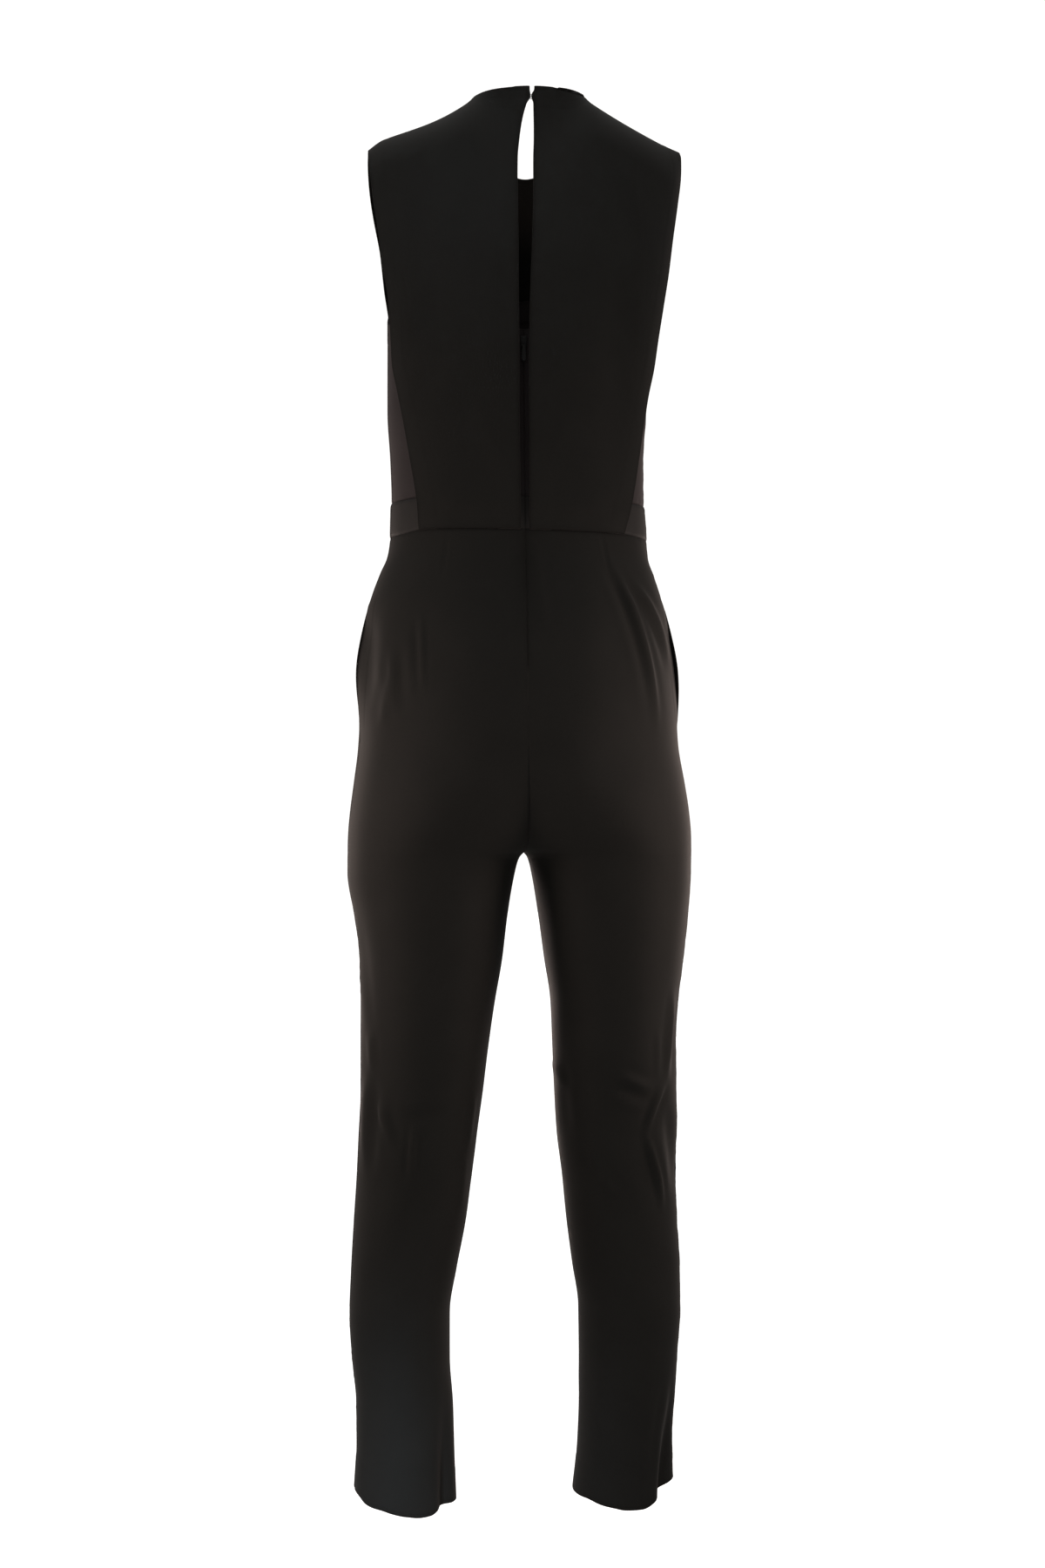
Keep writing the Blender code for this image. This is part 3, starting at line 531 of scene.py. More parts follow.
# %% The overlay's outer face
def overlay_skin(face, side, share, drop):
    """The overlay's outer face on the back (face 1) or front (face -1) of one side.

    share runs from the middle (0) to the outer edge (1), and drop from the top edge to the waist.
    """
    name = SIDES[side]
    lean = side * NECK_MIDDLE
    across = np.maximum(share, 0)
    start = math.acos((EDGES.read(0, name + "_slit") - lean) / NECK_HALF_WIDTH)
    angle = (start if face > 0 else math.pi / 2) * (1 - np.minimum(share / NECK_SHARE, 1))
    reach_y = NECK_BACK - RIDGE_Y if face > 0 else -NECK_FRONT - RIDGE_Y
    dip = NECK_BACK_DIP if face > 0 else NECK_FRONT_DROP
    along = np.clip((across - NECK_SHARE) / (1 - NECK_SHARE), 0, 1)
    tip_x, tip_z = SHOULDER.read(along, name, name + "_z")
    at_neck = across < NECK_SHARE
    top_x = np.where(at_neck, lean + NECK_HALF_WIDTH * np.cos(angle), tip_x)
    top_y = np.where(at_neck, reach_y * np.sin(angle), 0.0)
    top_z = np.where(at_neck, NECK_HEIGHT - dip * np.sin(angle) ** 2, tip_z)
    height = mix(top_z, WAIST, drop)
    where = "back" if face > 0 else "front"
    depth, span = OVERLAY.read(height, where, where + "_span")
    slit, outer = EDGES.read(height, name + "_slit", name)
    if face < 0:
        slit = side * NECK_MIDDLE * (1 - ease(-height / NECK_SWAY))
        outer = outer - FRONT_EDGE_IN * ease((FRONT_EDGE_FROM - height) / FRONT_EDGE_OVER)
    hang_x = mix(slit, outer, share)
    hangs = HANGS_AT_EDGE + HANGS_IN_MIDDLE * share * (1 - share)
    x = mix(top_x, hang_x, ease((top_z - height) / hangs))
    power = SQUARENESS[face]
    hang_y = depth * np.maximum(1 - np.abs(x / span) ** power, 0.02) ** (1 / power)
    neck = 1 - np.minimum(across / NECK_SHARE, 1)
    reach = mix(TURN_AT_SHOULDER, TURN_AT_NECK[face], neck)
    fallen = 1 - np.clip((top_z - height) / reach, 0, 1)
    turned = (1 - fallen ** mix(*TURN_START, neck)) ** mix(*TURN_FINISH, neck)
    y = mix(np.abs(top_y), hang_y, turned)
    x = x * side
    return np.stack((x, RIDGE_Y + face * y - RIDGE_Y * turned, worn_height(x, height)), -1)


# %% [markdown]
# ## Folds
#
# Folds are placed one by one, each with its own line, width and depth, because an even ripple
# never looks like cloth.  A fold is written as it is seen from behind or in front: from one
# point to another, with a bend, a breadth, and how far it stands out, or goes in if that is less
# than zero.  It fades at both ends, and beside it the cloth gives a little the other way, as a
# real fold's slack comes from its neighbours.

# %% Folds as soft ridges and troughs
Fold = namedtuple("Fold", "x z x_end z_end bend breadth out")
GIVE, GIVE_AT = 0.32, 1.9  # how much the cloth beside a fold gives the other way, and where
FADE_IN, FADE_OUT = 0.35, 0.45  # shares of its length
LEFT_AT_END = 0.05


def folded(points, folds):
    """How far the folds move each point outwards."""
    out = np.zeros(points.shape[:-1])
    for fold in map(Fold._make, folds):
        start = np.array((fold.x, fold.z))
        run = np.array((fold.x_end, fold.z_end)) - start
        length = np.linalg.norm(run)
        along_line = run / length
        across_line = np.array((-along_line[1], along_line[0]))
        flat = points[..., [0, 2]] - start
        t = flat @ along_line / length
        bent = fold.bend * 4 * t * (1 - t)
        q = (flat @ across_line - bent) / fold.breadth
        fade = ease(t / FADE_IN + LEFT_AT_END) * ease((1 - t) / FADE_OUT + LEFT_AT_END)
        out += fold.out * fade * (swell(q, 0, 1) - GIVE * swell(np.abs(q), GIVE_AT, 1))
    return out


UNEVEN, WAVE_COUNT = 0.45, 8  # the slow unevenness that cloth has all over
draw = np.random.default_rng(11)
lengths = [
    draw.uniform(70, 190, WAVE_COUNT) * draw.choice((-1, 1), WAVE_COUNT),
    draw.uniform(80, 200, WAVE_COUNT) * draw.choice((-1, 1), WAVE_COUNT),
    draw.uniform(170, 520, WAVE_COUNT),
]
WAVES = 2 * math.pi / np.stack(lengths, -1)
WAVE_STARTS = draw.uniform(0, 2 * math.pi, WAVE_COUNT)


def uneven(points):
    """It depends only on the place, so neighbouring panels move together."""
    return UNEVEN * np.sin(points @ WAVES.T + WAVE_STARTS).sum(-1) / math.sqrt(WAVE_COUNT)


print(WAVE_COUNT, "long waves, up to", round(UNEVEN * math.sqrt(WAVE_COUNT), 2), "mm together")

# %% [markdown]
# ## A panel of cloth
#
# Every panel is a thin closed shell: an outer face, an inner face one thickness behind it, and a
# rounded rim.  Where two panels meet, their edges turn in towards the seam, so a seam shows as
# the fine valley that stitching pulls into cloth, and it puckers slightly.  A hem or a free edge
# is two layers thick, because the cloth is turned back behind it.
#
# The shell could also be made by a Solidify modifier, but building it from arrays lets the wall
# be thicker at the hems, and gives a UV map in metres along the cloth, which the grain follows.


# %% Grids, normals and lengths
def spaced(count, crowd=0.7):
    """Shares from 0 to 1 that lie closer together at both ends."""
    s = np.linspace(0, 1, count + 1)
    return s - crowd / (2 * math.pi) * np.sin(2 * math.pi * s)


def rows_between(top, bottom, count, near):
    """Heights from top to bottom, closer together near some of them (place, breadth, how much)."""
    fine = np.linspace(top, bottom, 4000)
    weight = 1 + sum(much * swell(fine, place, breadth) for place, breadth, much in near)
    total = np.cumsum(weight)
    return np.interp(np.linspace(total[0], total[-1], count + 1), total, fine)


def grid_of(columns, rows, skin):
    share, place = np.meshgrid(columns, rows)
    return skin(share, place)


def both_halves(columns, rows, skin):
    """One grid from the right outer edge through the middle to the left one."""
    right, left = (grid_of(columns, rows, partial(skin, side)) for side in (-1, 1))
    return np.concatenate((right[:, :0:-1], left), axis=1)


def normals_of(points, turn):
    """Outward normals.  turn is -1 where the grid runs the other way round."""
    normal = np.cross(np.gradient(points, axis=1), np.gradient(points, axis=0)) * turn
    return normal / np.maximum(np.linalg.norm(normal, axis=-1, keepdims=True), 1e-12)


def lengths_along(points, axis):
    """Distance along the cloth from the first row or column, in millimetres."""
    steps = np.linalg.norm(np.diff(points, axis=axis), axis=-1)
    start = np.zeros_like(np.take(steps, [0], axis=axis))
    return np.concatenate((start, np.cumsum(steps, axis=axis)), axis=axis)


# %% Seams and hems
Edge = namedtuple("Edge", "seam free depth")  # how much of each, and how deep the second layer is
SEWN = Edge(1, 0, 0)
HEM_DEPTH, FACING_DEPTH = 30.0, 20.0
SEAM_DIP, SEAM_BREADTH = 0.6, 1.6
PUCKER, PUCKER_FADE = 0.09, 7.0
SHADE_FADE = 1.6  # how far from a seam its shade has faded
FAR_AWAY, FAINTEST, SECOND_FADE = 1e3, 0.01, 1.5
HEM_PROUD, HEM_LINE = 0.2, 0.12  # how far a hem stands out, and how deep its line of stitches is


def around(start, end, top, bottom):
    """Name the four edges of a panel."""
    return {"start": start, "end": end, "top": top, "bottom": bottom}


def pucker(along, random):
    """The slight waves that a row of stitches draws into cloth."""
    waves = zip(random.uniform(6, 26, 4), random.uniform(0, 6, 4))
    return sum(np.sin(2 * math.pi * along / length + start) for length, start in waves)


def with_edges(points, normal, edges, random):
    """Seams turn in and pucker.  Free edges get a second layer behind them."""
    across, down = lengths_along(points, 1), lengths_along(points, 0)
    away = around(across, across[:, -1:] - across, down, down[-1:] - down)
    along = around(down, down, across, across)
    out = np.zeros(across.shape)
    doubled = np.zeros(across.shape)
    nearest = np.full(across.shape, FAR_AWAY)
    for place, edge in edges.items():
        d = away[place]
        # How far each seam's painted shade reaches: a weaker seam's shade is fainter.
        shade = np.clip(2 * (edge.seam + edge.free), FAINTEST, 1)
        nearest = np.minimum(nearest, d - SHADE_FADE * np.log(shade))
        waves = PUCKER * pucker(along[place], random) * swell(d, 0, PUCKER_FADE)
        out += edge.seam * (-SEAM_DIP * swell(d, 0, SEAM_BREADTH) + waves)
        second = 1 - ease((d - edge.depth) / SECOND_FADE)
        doubled = np.maximum(doubled, edge.free * second)
        out += edge.free * (HEM_PROUD * second - HEM_LINE * swell(d, edge.depth, SEAM_BREADTH))
    return points + normal * out[..., None], doubled, nearest, across, down, away


# %% The finished shell
CLOTH = 1.05  # thickness of one layer
RIM_ROUND = 0.4  # how far the rim stands out, as a share of the wall


def rim_direction(points, rim):
    """Which way is out of the cloth, in its own plane, at each point of its rim."""
    across, down = np.gradient(points, axis=1), np.gradient(points, axis=0)
    across /= np.maximum(np.linalg.norm(across, axis=-1, keepdims=True), 1e-12)
    down /= np.maximum(np.linalg.norm(down, axis=-1, keepdims=True), 1e-12)
    out = np.zeros_like(points)
    out[:, 0] -= across[:, 0]
    out[:, -1] += across[:, -1]
    out[0] -= down[0]
    out[-1] += down[-1]
    out = out.reshape(-1, 3)[rim]
    return out / np.maximum(np.linalg.norm(out, axis=1, keepdims=True), 1e-12)


def shell(name, outer, inner, turn, uv, nearest, material):
    """Join two grids of the same size into one closed mesh with a rounded rim."""
    high, wide = outer.shape[:2]
    count = high * wide
    index = np.arange(count).reshape(high, wide)
    quads = np.stack((index[:-1, :-1], index[:-1, 1:], index[1:, 1:], index[1:, :-1]), -1)
    quads = quads.reshape(-1, 4)
    rim = np.concatenate((index[0, :-1], index[:-1, -1], index[-1, :0:-1], index[:0:-1, 0]))
    flat_outer, flat_inner = outer.reshape(-1, 3), inner.reshape(-1, 3)
    wall = np.linalg.norm(flat_outer[rim] - flat_inner[rim], axis=1, keepdims=True)
    middle = (flat_outer[rim] + flat_inner[rim]) / 2
    middle += rim_direction(outer, rim) * wall * RIM_ROUND
    ring = 2 * count + np.arange(len(rim))
    after = np.roll(np.arange(len(rim)), -1)
    rim_quads = (
        np.stack((rim, ring, ring[after], rim[after]), -1),
        np.stack((ring, count + rim, count + rim[after], ring[after]), -1),
    )
    faces = np.concatenate((quads, quads[:, ::-1] + count, *rim_quads))
    faces = faces[:, ::-1] if turn < 0 else faces
    mesh = bpy.data.meshes.new(name)
    points = np.concatenate((flat_outer, flat_inner, middle)) * MM
    mesh.from_pydata(points.tolist(), [], faces.tolist())
    mesh.shade_smooth()
    uv = np.concatenate((uv, uv, uv[rim])) * MM
    corners = np.empty(len(mesh.loops), np.int32)
    mesh.loops.foreach_get("vertex_index", corners)
    flat_uv = uv[corners].astype(np.float32).ravel()
    mesh.uv_layers.new(name="cloth").uv.foreach_set("vector", flat_uv)
    # How much painted shade each point takes, standing for the shade in a seam's valley; the rim
    # takes it fully.
    painted_seam_shade = np.exp(-nearest.reshape(-1) / SHADE_FADE)
    painted_seam_shade = np.concatenate((painted_seam_shade, painted_seam_shade, np.ones(len(rim)))).astype(np.float32)
    mesh.attributes.new("edge", "FLOAT", "POINT").data.foreach_set("value", painted_seam_shade)
    mesh.materials.append(material)
    return add_object(name, mesh)


# %% Add a panel
DOUBLED = 0.75  # how much thicker two layers are
ZIP_SHADE = 5.0  # how many times wider the painted shade is in a seam with the zip behind it
Panel = namedtuple("Panel", "piece inner normal away")
panels = {}


def add_panel(node, points, turn, edges, material, folds=(), wall=CLOTH, zip_edge=None, zipped=1):
    """A cloth shell whose outer face is the grid of points, with its folds, seams and hems.

    Along zip_edge the painted shade in the seam is wide.  zipped is how strong it is in each row.
    """
    random = np.random.default_rng(sum(map(ord, node)))
    normal = normals_of(points, turn)
    points = points + normal * (folded(points, folds) + uneven(points))[..., None]
    edged = with_edges(points, normals_of(points, turn), edges, random)
    points, doubled, nearest, across, down, away = edged
    normal = normals_of(points, turn)
    inner = points - normal * wall * (1 + DOUBLED * doubled)[..., None]
    uv = np.stack((across - across.mean(), -down), -1).reshape(-1, 2)
    if zip_edge:
        wide = away[zip_edge] / ZIP_SHADE - SHADE_FADE * np.log(np.maximum(zipped, 0.001))
        nearest = np.minimum(nearest, wide)
    made = shell(node + "_cloth", points, inner, turn, uv, nearest, material)
    panels[node] = Panel(made, inner, normal, away)
    size = f"{across[:, -1].max():.0f} x {down[-1].max():.0f} mm"
    print(f"{made.name}: {size}, {len(made.data.polygons)} faces")


# %% [markdown]
# ## Cloth finishes
#
# All the cloth is black, yet no two pieces look alike, because each catches the light in its own
# way.  The crepe of the trousers and overlay is dull: its threads are twisted hard, so its face is
# a field of tiny pebbles.  The bodice's cloth is smoother, and the waistband is satin, whose long
# threads all lie one way and give a soft sheen.
#
# Grain, slow changes of tone, and the shade that gathers in a seam, which is painted into the
# colour, are the same idea in each, so they are one node group with its own sizes in each material.
# It reads the UV map, which is in metres along the cloth.  Sheen is what makes cloth lighter where
# it turns away.

# %% Group sockets
FINISH_OUTPUTS = (("Color", "Color"), ("Roughness", "Float"), ("Height", "Float"))


def new_group(name, kind, inputs, outputs):
    """An empty group with these sockets, and its given values."""
    tree = bpy.data.node_groups.new(name, kind)
    for label, value_kind, *value in inputs:
        socket_kind = "NodeSocket" + value_kind
        socket = tree.interface.new_socket(label, in_out="INPUT", socket_type=socket_kind)
        if value:
            socket.default_value = value[0]
    for label, value_kind in outputs:
        tree.interface.new_socket(label, in_out="OUTPUT", socket_type="NodeSocket" + value_kind)
    return tree, add_node(tree, "NodeGroupInput")


# %% The cloth grain group
CRINKLE_COARSER, DRIFT_SCALE = 0.45, 22.0
PEBBLE_HEIGHT, CRINKLE_HEIGHT = -0.6, 0.7  # what each adds to the relief
CRINKLE_TONE, DRIFT_TONE = 0.55, 0.45  # and to the tone
SHADE_ROUGHER, CRINKLE_ROUGHER = 0.5, 0.08


def mixed_colour(tree, share, given):
    """Between the dark and the light colour that a group is given."""
    values = {"Factor": share, 6: given["Dark"], 7: given["Light"]}
    return add_node(tree, "ShaderNodeMix", values, data_type="RGBA")[2]


def make_cloth_grain():
    inputs = (
        ("Place", "Vector"),
        ("Edge", "Float", 0.0),
        ("Dark", "Color", (0.006, 0.0055, 0.005, 1)),
        ("Light", "Color", (0.012, 0.011, 0.010, 1)),
        ("Grain Size", "Float", 0.0008),
        ("Grain Stretch", "Float", 1.0),
        ("Roughness", "Float", 0.8),
        ("Seam Shade", "Float", 0.3),
    )
    tree, given = new_group("cloth_grain", "ShaderNodeTree", inputs, FINISH_OUTPUTS)
    maths = partial(math_node, tree)
    narrower = maths("DIVIDE", 1.0, given["Grain Stretch"])
    stretch = add_node(tree, "ShaderNodeCombineXYZ", (narrower, 1.0))[0]
    stretched = {"operation": "MULTIPLY", "label": "stretch the grain"}
    place = add_node(tree, "ShaderNodeVectorMath", (given["Place"], stretch), **stretched)[0]
    finer = maths("DIVIDE", 1.0, given["Grain Size"])
    values = {"Vector": place, "Scale": finer}
    threads = {"feature": "SMOOTH_F1", "label": "pebbles of twisted thread"}
    pebbles = add_node(tree, "ShaderNodeTexVoronoi", values, **threads)["Distance"]
    coarser = maths("MULTIPLY", finer, CRINKLE_COARSER)
    values = {"Vector": place, "Scale": coarser, "Detail": 3.0}
    crinkle = add_node(tree, "ShaderNodeTexNoise", values, label="crinkle between them")[0]
    values = {"Vector": given["Place"], "Scale": DRIFT_SCALE, "Detail": 2.0}
    drift = add_node(tree, "ShaderNodeTexNoise", values, label="slow drift of tone")[0]

    def weighed(first, share, second, other):
        return maths("ADD", maths("MULTIPLY", first, share), maths("MULTIPLY", second, other))

    height = weighed(pebbles, PEBBLE_HEIGHT, crinkle, CRINKLE_HEIGHT)
    tone = weighed(crinkle, CRINKLE_TONE, drift, DRIFT_TONE)
    # Painted shade: the colour is made darker near a seam, where shade falls in its valley, and
    # rougher.
    shade = maths("MULTIPLY", given["Edge"], given["Seam Shade"])
    values = {0: mixed_colour(tree, tone, given), "Scale": maths("SUBTRACT", 1.0, shade)}
    darker = {"operation": "SCALE", "label": "darker in a seam"}
    shaded = add_node(tree, "ShaderNodeVectorMath", values, **darker)[0]
    rough = maths("ADD", given["Roughness"], maths("MULTIPLY", shade, SHADE_ROUGHER))
    rough = maths("ADD", rough, maths("MULTIPLY", crinkle, CRINKLE_ROUGHER))
    add_node(tree, "NodeGroupOutput", {"Color": shaded, "Roughness": rough, "Height": height})
    return tree


cloth_grain = make_cloth_grain()
print("the grain takes", [s.name for s in cloth_grain.interface.items_tree if s.in_out == "INPUT"])


# %% Cloth materials
def make_finish(name, group, place, bump, shader, grain):
    """A material whose colour, roughness and relief come from a group.

    bump is the relief's strength and height, shader has the shader's own values and grain the
    group's.  The pattern lies on the cloth, or is placed in the object.
    """
    made, tree = new_material(name)
    if place == "cloth":
        # The edge attribute holds how much painted seam shade each point takes.
        edge = add_node(tree, "ShaderNodeAttribute", attribute_name="edge")["Fac"]
        where = {"Place": add_node(tree, "ShaderNodeUVMap", uv_map="cloth")[0], "Edge": edge}
    else:
        where = {"Place": add_node(tree, "ShaderNodeTexCoord")["Object"]}
    pattern = add_node(tree, "ShaderNodeGroup", grain | where, node_tree=group)
    relief = dict(zip(("Strength", "Distance", "Height"), (*bump, pattern["Height"])))
    bumped = add_node(tree, "ShaderNodeBump", relief)[0]
    varied = {"Base Color": pattern["Color"], "Roughness": pattern["Roughness"], "Normal": bumped}
    set_inputs(tree, tree.nodes["Principled BSDF"], shader | varied)
    return made


def cloth_material(name, dark, light, grain, stretch, roughness, shade, relief, specular, sheen):
    names = ("Dark", "Light", "Grain Size", "Grain Stretch", "Roughness", "Seam Shade")
    values = dict(zip(names, ((*dark, 1), (*light, 1), grain, stretch, roughness, shade)))
    weight, tint, spread = sheen
    shader = {
        "Specular IOR Level": specular,
        "Sheen Weight": weight,
        "Sheen Tint": (*tint, 1),
        "Sheen Roughness": spread,
    }
    return make_finish(name, cloth_grain, "cloth", (0.6, relief), shader, values)


crepe = cloth_material(
    "black_crepe", (0.0093, 0.0088, 0.0079), (0.0174, 0.0165, 0.0148), grain=0.0008, stretch=1.0,
    roughness=0.74, shade=0.3, relief=0.00012, specular=0.12, sheen=(0.05, (1.0, 0.93, 0.9), 0.35),
)
bodice_cloth = cloth_material(
    "bodice_cloth", (0.023, 0.0186, 0.0188), (0.041, 0.0331, 0.0335), grain=0.0006, stretch=1.4,
    roughness=0.66, shade=0.4, relief=0.00008, specular=0.16, sheen=(0.06, (1.0, 0.9, 0.92), 0.35),
)
satin = cloth_material(
    "waistband_satin", (0.018, 0.0163, 0.0152), (0.030, 0.0272, 0.0255), grain=0.00035, stretch=9.0,
    roughness=0.46, shade=0.5, relief=0.00005, specular=0.14, sheen=(0.035, (1.0, 0.93, 0.92), 0.3),
)
pocketing = cloth_material(
    "pocket_cloth", (0.006, 0.0057, 0.0055), (0.011, 0.0105, 0.010), grain=0.0005, stretch=1.0,
    roughness=0.7, shade=0.3, relief=0.00006, specular=0.15, sheen=(0.03, (1.0, 0.95, 0.92), 0.4),
)
tape_weave = cloth_material(
    "zip_tape_weave", (0.006, 0.006, 0.006), (0.015, 0.015, 0.0148), grain=0.0006, stretch=2.5,
    roughness=0.6, shade=0.3, relief=0.0001, specular=0.2, sheen=(0.02, (1.0, 1.0, 1.0), 0.4),
)
cloths = (crepe, bodice_cloth, satin, pocketing, tape_weave)
print("cloth finishes:", ", ".join(m.name for m in cloths))

# %% [markdown]
# ## Trousers
#
# Four long panels: a front and a back for each leg, joined at the side, inside the leg, and at
# the centre.  The zip runs in the upper part of the centre back seam, so the seam is deepest
# there.  In each side seam is a pocket, whose front edge stands a little away.  The legs taper
# to plain turned-up hems.
#
# The back shows a dart on the right that runs on into a long soft fold over the hip, and small
# creases behind the knees, where the wearer's leg bends.  The front gets folds of the same sort
# from the crotch outwards.  Above each hem one soft fold tucks the cloth in, so the leg's end is
# not quite round, and the hem lies lower behind than in front.

# %% Folds of the trousers
FOLDS = {
    # piece: each fold's start (x, z), its end (x, z), its bend, its breadth and how far out it is
    "trouser_back_right": (
        (-73, -424, -82, -468, 0.5, 1.7, -0.9), (-77, -446, -126, -618, -12, 3.6, 2.3),
        (-70, -446, -118, -618, -12, 4.6, -1.9), (-99, -466, -146, -560, -8.6, 3.4, 1.9),
        (-92, -468, -138, -562, -8.6, 4.2, -1.6), (-58, -440, -66, -610, 2, 16, 0.8),
        (-8, -432, -20, -528, 2, 5, 0.6), (-145, -856, -138, -954, -1, 3.6, 2.3),
        (-150, -880, -146, -958, 0, 3.6, -1.4), (-128, -892, -131, -954, 0, 3.2, 1),
        (-139, -946, -116, -1006, 2, 3.2, 2.9), (-116, -994, -136, -1080, -3, 2.7, 3),
        (-121, -985, -137, -1076, -3, 8, 1.9), (-138, -966, -152, -1072, -2, 6.5, -2.6),
        (-88, -938, -128, -955, 2, 4.4, 1.9), (-84, -950, -126, -967, 2, 5, -1.7),
        (-34, -930, -42, -960, 0.5, 3.4, 1.5), (-40, -940, -47, -1010, 1, 4.5, -1),
        (-67, -1000, -72, -1044, 1, 4, 1), (-72, -1038, -91, -1060, 1, 5, 1),
        (-142, -1234, -129, -1344, 0.5, 3.4, 1.5), (-134, -1244, -121, -1344, 0.5, 5, -0.7),
        (-98, -1100, -104, -1330, 4, 18, 0.9),
    ),
    "trouser_back_left": (
        (98.5, -500, 97.5, -584, 0.5, 2.6, 1.5), (103, -505, 102, -590, 0.5, 4.5, -0.9),
        (124, -532, 125, -604, 0, 4, 1.5), (128, -560, 135, -614, 0, 4, 1.2),
        (117, -530, 114, -606, 0, 5, -0.9), (147, -490, 148, -600, 0, 7, -2.2),
        (73, -424, 79, -472, -1, 1.8, -0.5), (162, -785, 147, -918, -1, 3.6, 1.3),
        (146, -898, 144, -942, 0, 3.2, 1.5), (147, -932, 151, -1044, 1, 3.6, 2.1),
        (140, -938, 144, -1042, 1, 4.6, -1.5), (138, -962, 122, -1012, 1, 4.4, 2.5),
        (103.5, -982, 107.5, -1046, 0.5, 2.8, 2.4), (45, -956, 53, -1020, 0.5, 3.2, 1.5),
        (54, -1010, 60, -1080, 0.5, 4, 1), (62, -958, 128, -968, -3, 7, 0.4),
        (64, -970, 130, -981, -3, 7, -0.3), (104, -1080, 116, -1330, 5, 20, 0.9),
        (140, -1240, 150, -1340, 2, 9, -0.9),
    ),
    "trouser_front_right": (
        (-8, -704, -92, -668, 6, 9, 2.2), (-12, -722, -88, -700, 5, 8, -1.7),
        (-14, -740, -70, -742, 3, 8, 1.3), (-58, -424, -64, -512, 2, 5, 1.4),
        (-98, -470, -108, -600, 4, 12, 0.9), (-70, -1005, -146, -1016, 4, 8, 1.4),
        (-96, -790, -102, -990, 3, 9, 1.1), (-100, -1060, -106, -1320, 4, 9, 1),
        (-60, -1240, -74, -1338, 2, 7, -1),
    ),
    "trouser_front_left": (
        (6, -700, 90, -660, -6, 9, 2), (10, -720, 84, -698, -5, 8, -1.6),
        (14, -746, 66, -752, -3, 8, 1.2), (60, -424, 67, -505, 2, 5, 1.3),
        (104, -460, 112, -590, 4, 12, 0.8), (68, -1000, 148, -1018, -4, 8, 1.5),
        (98, -800, 106, -985, 3, 9, 1), (108, -1050, 112, -1325, 4, 9, 1.1),
        (142, -1200, 146, -1336, 2, 7, -0.9),
    ),
}
print("folds in each trouser panel:", {name: len(folds) for name, folds in FOLDS.items()})

# %% Trouser panels
FINE_ROWS = ((WAIST, 6, 2), (CROTCH + 6, 24, 3), (HEM + HEM_DEPTH, 5, 1), (HEM, 6, 2))
TROUSER_ROWS = rows_between(WAIST, HEM, 330, FINE_ROWS)
TROUSER_COLUMNS = spaced(112, 0.5) ** 1.2  # closest together at the side, where most folds are
TOP_PROUD, TOP_FADE = 0.5, 9.0  # the cloth stands out a little below the waistband
# How strongly each seam is drawn in: at the side, inside the leg, along the zip and at the waist.
# Over the seat the centre seam is stretched, and stands out by as much.
SIDE_PULL, INNER_PULL, ZIP_PULL, WAIST_PULL, SEAT_PUSH = 0.9, 0.06, 0.79, 0.35, 0.7
SEAT, SEAT_BREADTH = CROTCH + 40, 38.0
MOUTH_STEEP, PULL_FADE, DARK_FADE = 6.0, 14.0, 120.0


def add_trouser_panel(side, face):
    node = ("trouser_back_" if face > 0 else "trouser_front_") + SIDES[side]
    back = 1.0 if face > 0 else 0.0
    points = grid_of(TROUSER_COLUMNS, TROUSER_ROWS, partial(trouser_panel, side, face))
    rows = TROUSER_ROWS[:, None]
    proud = TOP_PROUD * swell(rows, WAIST, TOP_FADE)
    points += normals_of(points, -side * face) * proud[..., None]
    open_here = np.clip(mouth(rows) * MOUTH_STEEP, 0, 1)
    zipped, seat = ease((rows - ZIP_END) / PULL_FADE), swell(rows, SEAT, SEAT_BREADTH)
    inner = INNER_PULL + back * ZIP_PULL * zipped - back * SEAT_PUSH * seat
    edges = around(
        Edge(SIDE_PULL * (1 - open_here), open_here, FACING_DEPTH),
        Edge(inner, 0, 0),
        Edge(WAIST_PULL, 0, 0),
        Edge(0, 1, HEM_DEPTH),
    )
    # On the back panels a wide painted shade runs down the centre back seam, and fades out over
    # DARK_FADE above the zip's end.
    shade = {"zip_edge": "end", "zipped": ease((rows - ZIP_END) / DARK_FADE)} if back else {}
    add_panel(node, points, -side * face, edges, crepe, FOLDS[node], **shade)


for side in SIDES:
    for face in (1, -1):
        add_trouser_panel(side, face)


# %% [markdown]
# ## Bodice and waistband
#
# The bodice is strapless and close.  It is seen between the overlay's back panels and at the
# sides.  Its top edge is faced, and its front has a shaped seam over each cup.  The waistband is
# a strip of satin-faced cloth with its own slight roundness, a little proud of the seams above
# and below it.

# %% Bodice panels
BAND_TOP = WAIST + BAND_HEIGHT
FACED = Edge(0, 1, FACING_DEPTH)
ZIP_SEAM = Edge(1.2, 0, 0)
CUP_SEAMS = [(side * 70, -172, side * 58, -392, side * 8, 1.8, -0.5) for side in SIDES]


def bodice_place(side, share, drop):
    return bodice_skin(side, share, mix(TOP_EDGE.read(share, "height"), BAND_TOP, drop))


for side, name in SIDES.items():
    points = grid_of(0.5 * spaced(56), spaced(76, 0.6), partial(bodice_place, side))
    edges = around(ZIP_SEAM, SEWN, FACED, SEWN)
    back_seam = (side * 58, -228, side * 50, -392, side * 2, 1.8, -0.45)
    node = "bodice_back_" + name
    # Beside the zip a wide painted shade stands for the shade in the slit between the overlay's
    # back panels.
    add_panel(node, points, side, edges, bodice_cloth, [back_seam], zip_edge="start")
columns = 1 - spaced(76) / 2
points = both_halves(columns, spaced(96, 0.6), bodice_place)
add_panel("bodice_front", points, -1, around(SEWN, SEWN, FACED, SEWN), bodice_cloth, CUP_SEAMS)

# %% Waistband
BAND_PROUD, BAND_ROUND = 0.8, 0.5
BAND_FOOT = Edge(0.5, 0, 0)


